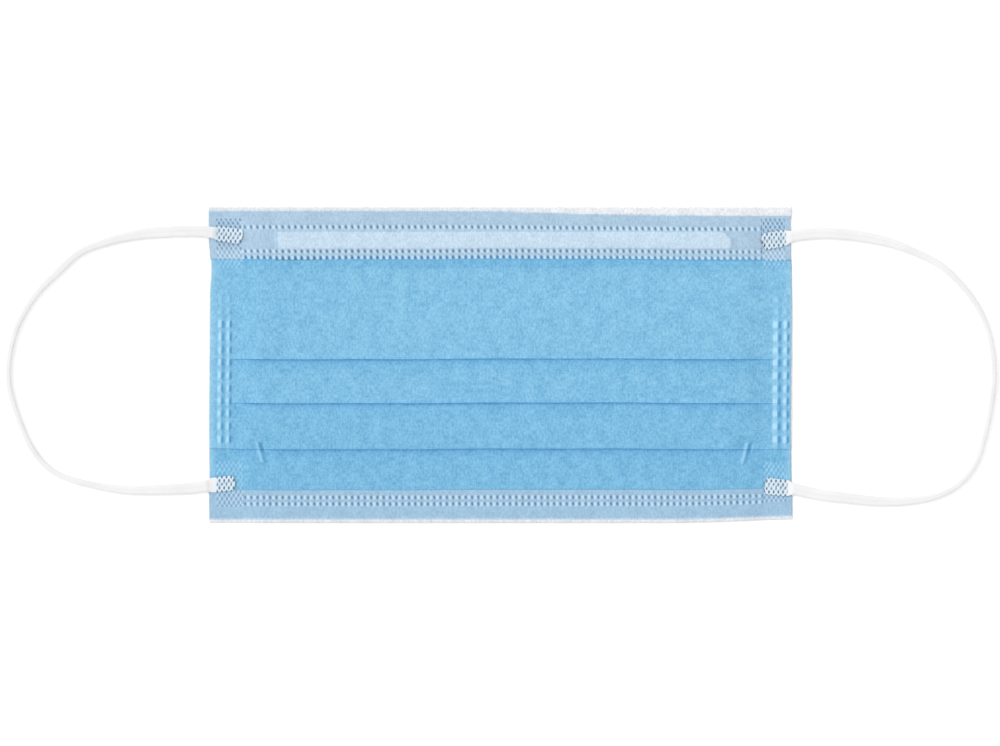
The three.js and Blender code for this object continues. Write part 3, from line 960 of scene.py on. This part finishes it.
# The spacing of rows: on plain cloth, at the corner welds' levels and on the two tucked plies.
PLAIN_ROW = 0.66 * MM
WELD_ROW = 0.38 * MM
WELD_LEVELS = ((27.0 * MM, 32.5 * MM), (-42.0 * MM, -27.0 * MM))
MIDDLE_PLY_ROW = 1.6 * MM
LOW_PLY_ROW = 1.4 * MM


def rise(y, pleat):
    """How far the pile under and in front of a pleat has climbed at y."""
    edge = PLEAT_EDGES[pleat]
    last = pleat == len(PLEAT_EDGES) - 1
    full = PUFFED_HALF - PRESSED_HALF if last else 2 * PLY_PITCH
    return full * float(smooth(-y, -edge - RISE_BEFORE, -edge + RISE_AFTER))


def step_places(start, end, step):
    """Places from start to end, close to the given step apart."""
    count = max(int(round(abs(end - start) / step)), 1)
    return [start + (end - start) * i / count for i in range(count + 1)]


def visible_places(start, end, coarseness):
    """Places down a visible stretch, closer together at the corner welds' levels."""
    places = [start]
    while places[-1] > end:
        at_weld = any(low < places[-1] < high for low, high in WELD_LEVELS)
        step = (WELD_ROW if at_weld else PLAIN_ROW) * coarseness
        places.append(max(places[-1] - step, end))
    return places


def half_turn(steps):
    """The angles inside a fold, without its two ends."""
    return [math.pi * i / steps for i in range(1, steps)]


def pleated_profile(top, bottom, coarseness, fold_steps):
    """The laminate's middle line through all three pleats."""
    profile = Profile()
    low = PRESSED_HALF
    high = low + 2 * PLY_PITCH
    radius = PLY_PITCH / 2
    reach = radius + PRESSED_HALF
    first_back = PLEAT_EDGES[0] + PLEAT_DEPTH
    for y in visible_places(top, PLEAT_EDGES[0] + reach, coarseness):
        share = float(smooth(-y, -FIRST_PRESS_Y, -first_back - FIRST_PRESS_MARGIN))
        profile.add(y, mixed(PUFFED_HALF, high, share) + rise(y, 0), mixed(PUFFED_HALF, low, share))
    for pleat, edge in enumerate(PLEAT_EDGES):
        back = edge + PLEAT_DEPTH
        for angle in half_turn(fold_steps):
            y = edge + reach - radius * math.sin(angle)
            z = high - radius + radius * math.cos(angle) + rise(y, pleat)
            profile.add(y, z, low, max(math.cos(angle), 0.0))
        for y in step_places(edge + reach, back - reach, MIDDLE_PLY_ROW * coarseness):
            profile.add(y, low + PLY_PITCH + rise(y, pleat), low, 0.0)
        for angle in half_turn(fold_steps):
            y = back - reach + radius * math.sin(angle)
            profile.add(y, low + radius + radius * math.cos(angle) + rise(y, pleat), low, 0.0)
        add_low_ply(profile, pleat, back - reach, bottom, coarseness)
    return profile


def add_low_ply(profile, pleat, start, bottom, coarseness):
    """The ply under a pleat, on down to the next pleat's edge or to the end of the cloth."""
    edge = PLEAT_EDGES[pleat]
    last = pleat == len(PLEAT_EDGES) - 1
    reach = PLY_PITCH / 2 + PRESSED_HALF
    end = bottom if last else PLEAT_EDGES[pleat + 1] + reach
    hidden = step_places(start, edge + HIDDEN_MARGIN, LOW_PLY_ROW * coarseness)
    for y in hidden[:-1] + visible_places(edge + HIDDEN_MARGIN, end, coarseness):
        half = PRESSED_HALF
        z = half + rise(y, pleat)
        if last:
            half = mixed(half, PUFFED_HALF, float(smooth(-y, -edge, -edge + LAST_PUFF_LENGTH)))
            z = max(z, half)
        else:
            z += rise(y, pleat + 1)
        profile.add(y, z, half, float(y < edge + SHOWN_MARGIN))


# ---------------------------------------------------------------- the laminate's two layers

# The spacing of columns in the middle and, finer, along the side seals, which are this wide.
SIDE_WIDTH = 18.6 * MM
OUTER_COLUMNS = (1.5 * MM, 0.36 * MM)
LINING_COLUMNS = (1.9 * MM, 0.6 * MM)
# How coarse each layer's rows are, and in how many steps its folds turn.
OUTER_COARSENESS = 1.0
LINING_COARSENESS = 1.7
OUTER_FOLD_STEPS = 7
LINING_FOLD_STEPS = 6
# The painted glow in the pleats' gaps fades out into the side seals over this width.
PAINTED_GLOW_FADE = 2.0 * MM

# The outer cloth's top edge is trimmed askew from this level up.
TRIM_START = 42.0 * MM
# Under the hems the outer cloth is let in, more under the strip and at the rows of dots.
TOP_COVERED = (31.8 * MM, 32.4 * MM)
BOTTOM_COVERED = (-37.5 * MM, -38.0 * MM)
HEM_SINK = 0.06 * MM
STRIP_SINK = 0.34 * MM
STRIP_SINK_SLOPE = 0.9 * MM
ROW_SINK = 0.52 * MM
ROW_SINK_EDGE = (0.75 * MM, 1.7 * MM)
DEEPEST_SINK = 0.56 * MM
SINK_HEIGHT = 0.9 * MM
MESH_SINK_SHARE = 0.3
# How dark each fused mark is, the dashes' and tacks' steep faces darker with painted shade, and where
# the cloth is fused dark along the flap's edge.
DASH_DARKNESS = 0.95
FACE_DARKNESS = 0.95
MESH_DARKNESS = 0.75
UNDER_FLAP = 31.5 * MM
UNDER_FLAP_FADE = 0.5 * MM
# How strong the painted highlight on each raised mark is, and where the body's very edge gets pale.
DASH_HIGHLIGHT = 0.68
TACK_HIGHLIGHT = 0.28
MESH_HIGHLIGHT = 0.55
EDGE_PALENESS = 0.3
PALE_EDGE = 84.6 * MM
# Where painted shade darkens the blue: under the upper hem, as a painted shadow below each pleat,
# lower down and at the left.
HEM_SHADE = (28.7 * MM, 29.2 * MM)
HEM_SHADE_LOSS = 0.35
HEM_SHADE_SPAN = (20.0 * MM, 75.0 * MM)
PLEAT_SHADE = 0.8
PLEAT_SHADE_START = (0.0, 0.3 * MM)
PLEAT_SHADE_END = (1.2 * MM, 6.0 * MM)
LOWER_SHADE = 0.68
LOWER_SHADE_TOP = 8.0 * MM
LOWER_SHADE_RUN = 36.0 * MM
LEFT_SHADE = 0.22
LEFT_SHADE_SPAN = (-42.0 * MM, -62.0 * MM)
# The lining laps over the hems' legs here, with this gap, and its meshes are this dark.
TOP_LAP = (31.5 * MM, 33.5 * MM)
BOTTOM_LAP = (-37.5 * MM, -39.0 * MM)
LAP_GAP = 0.05 * MM
LINING_DARKNESS = 0.5


def graded_columns(middle_step, side_step):
    """X places across the body, closer together at the side seals."""
    left = step_places(LEFT, LEFT + SIDE_WIDTH, side_step)
    middle = step_places(LEFT + SIDE_WIDTH, RIGHT - SIDE_WIDTH, middle_step)
    right = step_places(RIGHT - SIDE_WIDTH, RIGHT, side_step)
    return np.array(left[:-1] + middle + right[1:])


def askew_drop(x):
    """How much lower the outer cloth's top edge is at each x."""
    return np.interp(x, ASKEW_X, ASKEW_DROP)


def sunk_under_hems(x, y, z):
    """The outer layer's height where it is let in under the hems."""
    rows = np.zeros_like(x)
    for row in (*TOP_DOT_ROWS, *BOTTOM_DOT_ROWS):
        rows = np.maximum(rows, 1.0 - smooth(np.abs(y - row), *ROW_SINK_EDGE))
    under_strip = STRIP_SINK * strip_cover(x, y, STRIP_SINK_SLOPE)
    covered = np.maximum(smooth(y, *TOP_COVERED), smooth(y, *BOTTOM_COVERED))
    sink = np.minimum(under_strip + ROW_SINK * rows + HEM_SINK, DEEPEST_SINK) * covered
    return z - sink * np.clip(z / SINK_HEIGHT, 0.0, 1.0)


def outer_tones(x, y, lattice, mesh_lines):
    """How dark the outer cloth's fused marks are, with painted shade on the dashes' and tacks' steep
    faces, and how strong the painted highlight on its raised marks is, both 0 to 1.
    """
    _height, dash_face, dash_slope = side_dashes(x, y)
    _height, tack_face, tack_slope = tack_marks(x, y)
    # Painted shade, in the fused colour, on the steep faces away from the lamp.
    face = np.maximum(DASH_DARKNESS * dash_face, tack_face)
    flap_edge = UNDER_FLAP - FLAP_DROOP * smooth(x, *DROOP_SPAN)
    pressed = np.maximum(MESH_DARKNESS * lattice, FACE_DARKNESS * face)
    pressed = np.maximum(pressed, smooth(y, flap_edge, flap_edge + UNDER_FLAP_FADE))
    # A painted highlight on the marks' slopes towards the lamp and on the meshes' raised lines.
    puffed = np.maximum(DASH_HIGHLIGHT * dash_slope, TACK_HIGHLIGHT * tack_slope) * (1.0 - face)
    puffed = np.maximum(puffed, MESH_HIGHLIGHT * mesh_lines)
    return pressed, np.maximum(puffed, EDGE_PALENESS * smooth(np.abs(x), PALE_EDGE, HALF_WIDTH))


def outer_painted_shade(x, y):
    """How far painted shade darkens the outer cloth's blue, 0 to 1."""
    snug = smooth(y, *HEM_SHADE) * (1.0 - HEM_SHADE_LOSS * smooth(np.abs(x), *HEM_SHADE_SPAN))
    # A painted shadow below each pleat's edge.
    for edge in PLEAT_EDGES:
        below = smooth(edge - y, *PLEAT_SHADE_START) * (1.0 - smooth(edge - y, *PLEAT_SHADE_END))
        snug = np.maximum(snug, PLEAT_SHADE * below)
    lower = LOWER_SHADE * np.clip((LOWER_SHADE_TOP - y) / LOWER_SHADE_RUN, 0.0, 1.0)
    deepening = np.maximum(lower, LEFT_SHADE * smooth(x, *LEFT_SHADE_SPAN))
    return 1.0 - (1.0 - snug) * (1.0 - deepening)


def outer_shape(x, row_y, y, z):
    """The outer layer's marks, and how it lies under the hems and the strip."""
    y = y - askew_drop(x) * smooth(row_y, TRIM_START, OUTER_TOP)
    x = x * (1.0 - OUTER_INSET / HALF_WIDTH)
    lattice, mesh_lines = corner_marks(x, y)
    z = sunk_under_hems(x, y, z) * (1.0 - MESH_SINK_SHARE * lattice)
    pressed, puffed = outer_tones(x, y, lattice, mesh_lines)
    return x, y, z, pressed, puffed, outer_painted_shade(x, y)


def lining_shape(x, row_y, y, z):
    """The lining laps over the hems' inner legs at its two ends."""
    over = np.maximum(smooth(row_y, *TOP_LAP), smooth(row_y, *BOTTOM_LAP))
    nothing = np.zeros_like(x)
    pressed = LINING_DARKNESS * corner_marks(x, y)[0]
    return x, y, z + (LAYER + LAP_GAP) * over, pressed, nothing, nothing


def laminate_layer(name, profile, columns, front, finish, shape):
    """One layer of the laminate: front is 1 for the outer cloth and -1 for the lining."""
    y, z, half, normal_y, normal_z, along, shown = profile.arrays()
    mesh, column, row, side = unit_sheet(len(columns), len(y))
    reach = front * (half[row] - LAYER / 2) + (side - 0.5) * LAYER
    flat_y = y[row] + normal_y[row] * reach
    flat_z = z[row] + normal_z[row] * reach
    x, flat_y, flat_z, pressed, puffed, snug = shape(columns[column], y[row], flat_y, flat_z)
    x, flat_y, flat_z = settle(x, flat_y, flat_z, front > 0)
    move_vertices(mesh, x, flat_y, flat_z)
    add_uv(mesh, columns[column], along[row])
    # A painted glow, standing in for light through the cloth, brightens the plies in each pleat's gap.
    tucked = (1.0 - shown[row]) * (1.0 - fused(x, PAINTED_GLOW_FADE))
    add_attributes(mesh, pressed=pressed, puffed=puffed, snug=snug, tucked=tucked)
    return add_piece(name, mesh, finish, "pleated_panel"), along[-1]


# ---------------------------------------------------------------- the hems

FLAP_Z = 2 * PUFFED_HALF + 0.03 * MM + LAYER / 2
HEM_FOLD_STEPS = 7
# The spacing of a hem's rows: how near a row of dots they get finer, then both spacings.
FLAP_ROWS = (1.15 * MM, 0.27 * MM, 0.46 * MM)
LEG_ROWS = (0.9 * MM, 0.34 * MM, 0.8 * MM)
# Its columns: how many fall on each dot, and how close the last may come to the side, in columns.
COLUMNS_PER_DOT = 6
SIDE_GUARD = 0.25
# A hem's cloth belongs to its leg below this span of heights and to its flap above it.
FRONT_SPAN = (0.25 * MM, 0.8 * MM)

STRIP_Z = 0.72 * MM
STRIP_THICKNESS = 0.66 * MM
STRIP_LIFT = STRIP_Z + STRIP_THICKNESS + 0.04 * MM + LAYER / 2 - FLAP_Z
STRIP_LIFT_SLOPE = 0.95 * MM
# How the strip shows through: moved this far right, this soft, and fainter towards its lower edge.
STRIP_SHIFT = 0.2 * MM
STRIP_SHOW_SLOPE = 0.22 * MM
STRIP_SHOW_LOW = 0.84
STRIP_SHOW_SPAN = (35.5 * MM, 38.0 * MM)
# How strongly the blue shows through the nose hem, and past its edge at the left and the right.
NOSE_BLUE = 0.86
NOSE_MARGIN = (0.2, 0.05)
NOSE_MARGIN_SPAN = (-20.0 * MM, 40.0 * MM)
NOSE_MARGIN_FADE = 0.2 * MM
# How strongly the blue shows through the chin hem's margin, and where it reaches its full strength.
CHIN_MARGIN = 0.18
CHIN_MARGIN_EDGE = (OUTER_BOTTOM - 0.4 * MM, OUTER_BOTTOM + 0.3 * MM)
# The dots on the nose flap's edge run on down over it and are drawn more strongly.
EDGE_DOT_RUN = 0.3 * MM
EDGE_DOT_GAIN = 1.6
# The flap's edge hangs lower between its teeth, and is pressed down, over this depth.
TOOTH_HEIGHT = 0.1 * MM
EDGE_DROP = 0.35 * MM
EDGE_SINK = 0.2 * MM
EDGE_DEPTH = 0.7 * MM
# Where the inner filter sheet ends under the nose hem, how its corner is rounded off, and its step.
FILTER_EDGE = -67.6 * MM
FILTER_CORNER = 7.0 * MM
FILTER_CORNER_SPAN = (42.0 * MM, 46.5 * MM)
FILTER_STEP = 0.28 * MM
FILTER_STEP_START = (-0.3 * MM, 0.3 * MM)
FILTER_STEP_END = (2.0 * MM, 24.0 * MM)
# The dip along each row of dots, and how far a dot lifts the leg behind it.
SEAM_EDGE = (0.3 * MM, 1.5 * MM)
LEG_DENT = 0.1 * MM
LEG_DARKNESS = 0.25
# How much of the swelling there is on the flap's edge, as relief and as painted highlight.
EDGE_SWELL = 0.5
EDGE_SWELL_TONE = 0.9
SWELL_HIGHLIGHT = 0.7


def dot_columns():
    """X places across the body that fall the same way on every weld dot."""
    step = DOT_PITCH / COLUMNS_PER_DOT
    first = math.ceil((LEFT - DOT_PHASE) / step + SIDE_GUARD)
    last = math.floor((RIGHT - DOT_PHASE) / step - SIDE_GUARD)
    inner = [DOT_PHASE + i * step for i in range(first, last + 1)]
    return np.array([LEFT] + inner + [RIGHT])


def row_spacing(y, rows, reach, near_step, far_step):
    """The spacing at y: the finer one within reach of a row of dots."""
    return near_step if min(abs(y - row) for row in rows) < reach else far_step


def hem_profile(edge_y, flap_end, leg_end, rows):
    """A lining edge folded over the body: front flap, rounded edge, then the leg behind.

    The y values run away from the body's middle towards edge_y; the caller mirrors the chin hem.
    """
    profile = Profile()
    radius = (FLAP_Z - LAYER / 2) / 2
    turn = edge_y - radius
    y = flap_end
    while y < turn:
        profile.add(y, FLAP_Z, 0.0)
        y += row_spacing(y, rows, *FLAP_ROWS)
    profile.add(turn, FLAP_Z, 0.0)
    for angle in half_turn(HEM_FOLD_STEPS):
        z = LAYER / 2 + radius + radius * math.cos(angle)
        profile.add(turn + radius * math.sin(angle), z, 0.0)
    y = turn
    while y > leg_end:
        profile.add(y, LAYER / 2, 0.0)
        y -= row_spacing(y, rows, *LEG_ROWS)
    profile.add(leg_end, LAYER / 2, 0.0)
    return profile


def nose_flap(x, y, z, front):
    """The nose hem in front: y, z, how strongly blue and strip show, edge dots and strip's lift."""
    lifted = strip_cover(x, y, STRIP_LIFT_SLOPE) * front
    strip = strip_cover(x - STRIP_SHIFT, y, STRIP_SHOW_SLOPE) * front
    strip = strip * mixed(STRIP_SHOW_LOW, 1.0, smooth(y, *STRIP_SHOW_SPAN))
    cut = OUTER_TOP - askew_drop(x)
    margin = mixed(*NOSE_MARGIN, smooth(x, *NOSE_MARGIN_SPAN))
    past_cut = smooth(y, cut - NOSE_MARGIN_FADE, cut + NOSE_MARGIN_FADE)
    blue = mixed(NOSE_BLUE, margin, past_cut)
    edge_row = top_rows(x)[-1]
    edge_dots = np.maximum(dot_row(x, y, edge_row), dot_row(x, y + EDGE_DOT_RUN, edge_row))
    edge_dots = np.minimum(EDGE_DOT_GAIN * edge_dots, 1.0) * front
    at_edge = front * (1.0 - smooth(y, TOP_FLAP_END, TOP_FLAP_END + EDGE_DEPTH))
    droop = EDGE_DROP + FLAP_DROOP * smooth(x, *DROOP_SPAN)
    y = y + at_edge * (TOOTH_HEIGHT * (1.0 - between_dots(x)) - droop)
    past = x - FILTER_EDGE - FILTER_CORNER * smooth(y, *FILTER_CORNER_SPAN) ** 2
    step = smooth(past, *FILTER_STEP_START) * (1.0 - smooth(past, *FILTER_STEP_END))
    z = z - EDGE_SINK * at_edge + FILTER_STEP * step * front
    return y, z, blue, strip, edge_dots, lifted


def chin_flap(x, y, z, _front):
    """The chin hem in front, as nose_flap gives it: only the blue cloth shows through it."""
    nothing = np.zeros_like(x)
    blue = mixed(CHIN_MARGIN, 1.0, smooth(y, *CHIN_MARGIN_EDGE))
    return y, z, blue, nothing, nothing, nothing


def make_hem(name, node, edge_y, flap_end, leg_end, rows, flap, finish):
    """One hem and its length along the cloth; flap gives what is its own in front."""
    sign = math.copysign(1.0, edge_y)
    mirrored_rows = [sign * row for row in rows]
    profile = hem_profile(sign * edge_y, sign * flap_end, sign * leg_end, mirrored_rows)
    y, z, _half, normal_y, normal_z, along, _shown = profile.arrays()
    columns = dot_columns()
    mesh, column, row, side = unit_sheet(len(columns), len(y))
    x = columns[column]
    # The line runs towards the edge, so the sheet's front has to be turned up.
    reach = (side - 0.5) * LAYER
    y = (y[row] - normal_y[row] * reach) * sign
    z = z[row] - normal_z[row] * reach
    front = smooth(z, *FRONT_SPAN)
    y, z, blue, strip, edge_dots, lifted = flap(x, y, z, front)
    pressed = weld_press(x, y)
    seam = np.zeros_like(x)
    for weld_row in rows:
        seam = np.maximum(seam, 1.0 - smooth(np.abs(y - weld_row), *SEAM_EDGE))
    # The swellings between the dots are painted with a highlight.
    swell_highlight = SWELL_HIGHLIGHT * puff_swell(x, y, EDGE_SWELL_TONE) * front
    swell_highlight = swell_highlight * (1.0 - pressed) * (1.0 - edge_dots)
    swell = PUFF_HEIGHT * puff_swell(x, y, EDGE_SWELL)
    z = z + STRIP_LIFT * lifted + front * (swell - DOT_DEPTH * pressed - SEAM_DEPTH * seam)
    z = z + (1.0 - front) * LEG_DENT * pressed
    move_vertices(mesh, *settle(x, y, z, False))
    if sign < 0:
        mesh.flip_normals()
    add_uv(mesh, columns[column], along[row])
    add_attributes(
        mesh,
        pressed=pressed * (1.0 - edge_dots) * mixed(LEG_DARKNESS, 1.0, front),
        edge_dots=edge_dots,
        puffed=swell_highlight,
        blue_below=blue * front * (1.0 - strip),
        strip_below=strip,
    )
    return add_piece(name, mesh, finish, node), along[-1]


# ---------------------------------------------------------------- the nose strip

# The strip's corner and its rims: how far each is bevelled and in how many steps.
STRIP_CORNER = (2.4 * MM, 6)
STRIP_RIM = (0.16 * MM, 3)
SHARP_ANGLE = 0.6


def bevel(build, edges, offset, segments):
    bmesh.ops.bevel(
        build, geom=edges, offset=offset, segments=segments, profile=0.5, affect="EDGES",
        material=-1,
    )


def make_strip(finish):
    """The bendable strip: a flat bar with one upper corner rounded off."""
    build = bmesh.new()
    bmesh.ops.create_cube(build, size=1.0)
    size = (2 * STRIP_HALF_LENGTH, 2 * STRIP_HALF_WIDTH, STRIP_THICKNESS)
    bmesh.ops.scale(build, vec=size, verts=build.verts[:])
    corner = [
        edge for edge in build.edges
        if all(vert.co.x > 0 and vert.co.y > 0 for vert in edge.verts)
    ]
    bevel(build, corner, *STRIP_CORNER)
    rims = [edge for edge in build.edges if edge.calc_face_angle(0.0) > SHARP_ANGLE]
    bevel(build, rims, *STRIP_RIM)
    middle = (STRIP_CENTRE_X, STRIP_CENTRE_Y, STRIP_Z + STRIP_THICKNESS / 2)
    bmesh.ops.translate(build, vec=middle, verts=build.verts[:])
    bmesh.ops.recalc_face_normals(build, faces=build.faces[:])
    mesh = bpy.data.meshes.new("strip")
    build.to_mesh(mesh)
    build.free()
    add_piece("nose_strip_bar", mesh, finish, "nose_strip")


# ---------------------------------------------------------------- the ear loops

AROUND = 48
SPAN_STEPS = 14
# The knit: how many wales go round the elastic, a stitch's length, and its rows of points.
WALES = 8
STITCH = 0.9 * MM
ROWS_PER_STITCH = 4
ROW_LENGTH = STITCH / ROWS_PER_STITCH
GROOVE_EDGE = (0.3, 0.5)
CHEVRON_SHARE = 0.7
GROOVE_DEPTH = 0.04
MELTED_GROOVE_LOSS = 0.6
# How square the elastic's section is: the powers of its cosine and sine.
WIDE_POWER = 0.6
HIGH_POWER = 0.45
CURL_THICKENING = 0.15
SOFTEN_POINTS = 41
# The welds: their thickness, their length and where past it the elastic is free again.
WELD_THICKNESS = 0.42 * MM
WELD_LENGTH = 7.4 * MM
WELD_RELEASE = (WELD_LENGTH - 0.6 * MM, WELD_LENGTH + 2.2 * MM)
MELTED_SPAN = (0.5 * MM, 3.0 * MM)
WELD_DENT = 0.2 * MM
END_ROUNDING = 0.75 * MM
END_SHARE = 0.03
# How far the elastic lies above the floor and the hem, and where it comes down past the body.
FLOOR_GAP = 0.06 * MM
HEM_GAP = 0.03 * MM
DESCENT = (HALF_WIDTH + 0.4 * MM, HALF_WIDTH + 7.0 * MM)


def smooth_route(points):
    """A Catmull-Rom curve through the points."""
    points = np.array(points)
    padded = np.vstack([2 * points[0] - points[1], points, 2 * points[-1] - points[-2]])
    curve = []
    for i in range(1, len(padded) - 2):
        before, start, end, after = padded[i - 1:i + 3]
        for j in range(SPAN_STEPS):
            t = j / SPAN_STEPS
            curve.append(0.5 * (
                2 * start + (end - before) * t
                + (2 * before - 5 * start + 4 * end - after) * t * t
                + (3 * start - before - 3 * end + after) * t * t * t
            ))
    curve.append(padded[-2])
    return np.array(curve)


def travelled(curve):
    """How far along the curve each of its points lies."""
    return np.concatenate([[0.0], np.cumsum(np.linalg.norm(np.diff(curve, axis=0), axis=1))])


def corner_top(x, y):
    """The height of the hem's front face at a corner, where its waves are highest."""
    top = pressed_height(np.clip(x, LEFT, RIGHT), y, FLAP_Z + LAYER / 2)
    return top * (1.0 + UNEVENNESS)


def softened(values):
    """The same values with their corners rounded off."""
    weights = np.hanning(SOFTEN_POINTS)
    padded = np.pad(values, SOFTEN_POINTS // 2, mode="edge")
    return np.convolve(padded, weights / weights.sum(), mode="valid")


def loop_line(route, ends, widths, weld_width):
    """The elastic's middle line from weld to weld, with how wide, thick and welded it is there."""
    curve = smooth_route([(*ends[0], 0.0), *route, (*ends[1], 0.0)])
    places = travelled(curve)
    length = places[-1]
    travel = np.linspace(0.0, length, int(round(length / ROW_LENGTH)) + 1)
    line = np.stack([np.interp(travel, places, curve[:, axis]) for axis in range(3)], axis=1)
    weld = 1.0 - smooth(np.minimum(travel, length - travel), *WELD_RELEASE)
    free_width = softened(np.interp(travel / length, *zip(*widths)))
    free_thickness = ELASTIC_THICKNESS + CURL_THICKENING * (ELASTIC_WIDTH - free_width)
    width = mixed(free_width, weld_width, weld)
    thickness = mixed(free_thickness, WELD_THICKNESS, weld)
    resting = thickness / 2 + FLOOR_GAP
    on_hem = corner_top(line[:, 0], line[:, 1]) + WELD_THICKNESS / 2 + HEM_GAP
    over_body = 1.0 - smooth(np.abs(line[:, 0]), *DESCENT)
    line[:, 2] = mixed(resting, np.maximum(on_hem, resting), over_body)
    return line, length, width, thickness, weld


def unit_tube(rings):
    """A closed tube of the given number of rings, as (mesh, ring, angle)."""
    build = bmesh.new()
    bmesh.ops.create_cone(
        build, cap_ends=True, cap_tris=False, segments=AROUND, radius1=1.0, radius2=1.0, depth=1.0
    )
    sides = [edge for edge in build.edges if abs(edge.verts[0].co.z - edge.verts[1].co.z) > 0.5]
    bmesh.ops.subdivide_edges(build, edges=sides, cuts=rings - 2, use_grid_fill=True)
    bmesh.ops.recalc_face_normals(build, faces=build.faces[:])
    mesh = bpy.data.meshes.new("elastic")
    build.to_mesh(mesh)
    build.free()
    places = vertex_places(mesh)
    ring = np.rint((places[:, 2] + 0.5) * (rings - 1)).astype(int)
    return mesh, ring, np.arctan2(places[:, 1], places[:, 0])


def directions(line):
    """Unit vectors along the line, across it and up from it."""
    tangent = np.gradient(line, axis=0)
    tangent /= np.linalg.norm(tangent, axis=1)[:, None]
    across = np.stack([-tangent[:, 1], tangent[:, 0], np.zeros(len(line))], axis=1)
    across /= np.linalg.norm(across, axis=1)[:, None]
    return tangent, across, np.cross(tangent, across)


def squared(value, power):
    """A sine or cosine, pushed out towards a box's."""
    return np.abs(value) ** power * np.sign(value)


def knit_grooves(angle, travel):
    """The grooves of the knit, 0 to 1: straight ones between its wales, and chevrons on them."""
    wale = np.mod(angle / (2 * math.pi) * WALES, 1.0)
    chevron = np.mod(travel / STITCH + np.abs(wale - 0.5), 1.0)
    straight = smooth(np.abs(wale - 0.5), *GROOVE_EDGE)
    return np.maximum(straight, CHEVRON_SHARE * smooth(np.abs(chevron - 0.5), *GROOVE_EDGE))


def make_loop(name, node, route, ends, widths, weld_cut, finish):
    """One ear loop: flat knitted elastic, melted flat and pressed with the mesh at both ends."""
    weld_width, first_slant, last_slant = weld_cut
    line, length, width, thickness, weld = loop_line(route, ends, widths, weld_width)
    count = len(line)
    mesh, ring, angle = unit_tube(count)
    tangent, across, up = directions(line)
    flat = squared(np.cos(angle), WIDE_POWER)
    thin = squared(np.sin(angle), HIGH_POWER)
    groove = knit_grooves(angle, ring * ROW_LENGTH)
    loft = 1.0 - GROOVE_DEPTH * groove * (1.0 - MELTED_GROOVE_LOSS * weld[ring])
    out_wide = flat * width[ring] / 2
    out_high = thin * thickness[ring] / 2 * loft
    spot = line[ring] + across[ring] * out_wide[:, None] + up[ring] * out_high[:, None]
    share = ring / (count - 1)
    at_first = 1.0 - smooth(share, 0.0, END_SHARE)
    at_last = smooth(share, 1.0 - END_SHARE, 1.0)
    slant = (last_slant * at_last - first_slant * at_first) * np.sign(line[0, 0] * spot[:, 1])
    rounding = END_ROUNDING * (at_first - at_last) * flat ** 2
    spot = spot + tangent[ring] * (slant * out_wide + rounding)[:, None]
    pressed = np.zeros(len(spot))
    for patch in CORNER_WELDS:
        pressed = np.maximum(pressed, corner_lattice(spot[:, 0], spot[:, 1], patch)[0])
    pressed = np.where(thin > 0, pressed * weld[ring], 0.0)
    spot[:, 2] -= WELD_DENT * pressed
    move_vertices(mesh, *spot.T)
    melted = smooth(HALF_WIDTH - np.abs(spot[:, 0]), *MELTED_SPAN)
    add_attributes(mesh, pressed=pressed, groove=groove * (1.0 - weld[ring]), welded=melted)
    piece = add_piece(name, mesh, finish, node)


# ---------------------------------------------------------------- build

place_camera()
light_scene()
make_floor()

white_elastic = elastic_finish()
for loop in LOOPS:
    make_loop(*loop, white_elastic)

outer_cloth = nonwoven("outer_blue_nonwoven", OUTER_COLOURS, OUTER_BONDS, OUTER_PAINTED_LIGHT)
lining_cloth = nonwoven("white_lining", LINING_COLOURS, LINING_BONDS)
hem_cloth = nonwoven("folded_lining", HEM_COLOURS, HEM_BONDS, HEM_BELOW)

outer_profile = pleated_profile(OUTER_TOP, OUTER_BOTTOM, OUTER_COARSENESS, OUTER_FOLD_STEPS)
outer, outer_length = laminate_layer(
    "outer_layer", outer_profile, graded_columns(*OUTER_COLUMNS), 1, outer_cloth, outer_shape
)
lining_profile = pleated_profile(LINING_TOP, LINING_BOTTOM, LINING_COARSENESS, LINING_FOLD_STEPS)
lining, lining_length = laminate_layer(
    "inner_lining", lining_profile, graded_columns(*LINING_COLUMNS), -1, lining_cloth, lining_shape
)
top_hem, top_hem_length = make_hem(
    "top_hem_cloth", "top_hem", NOSE_EDGE, TOP_FLAP_END, TOP_LEG_END, TOP_DOT_ROWS, nose_flap,
    hem_cloth,
)
bottom_hem, bottom_hem_length = make_hem(
    "bottom_hem_cloth", "bottom_hem", CHIN_EDGE, BOTTOM_FLAP_END, BOTTOM_LEG_END, BOTTOM_DOT_ROWS,
    chin_flap, hem_cloth,
)
make_strip(strip_finish())
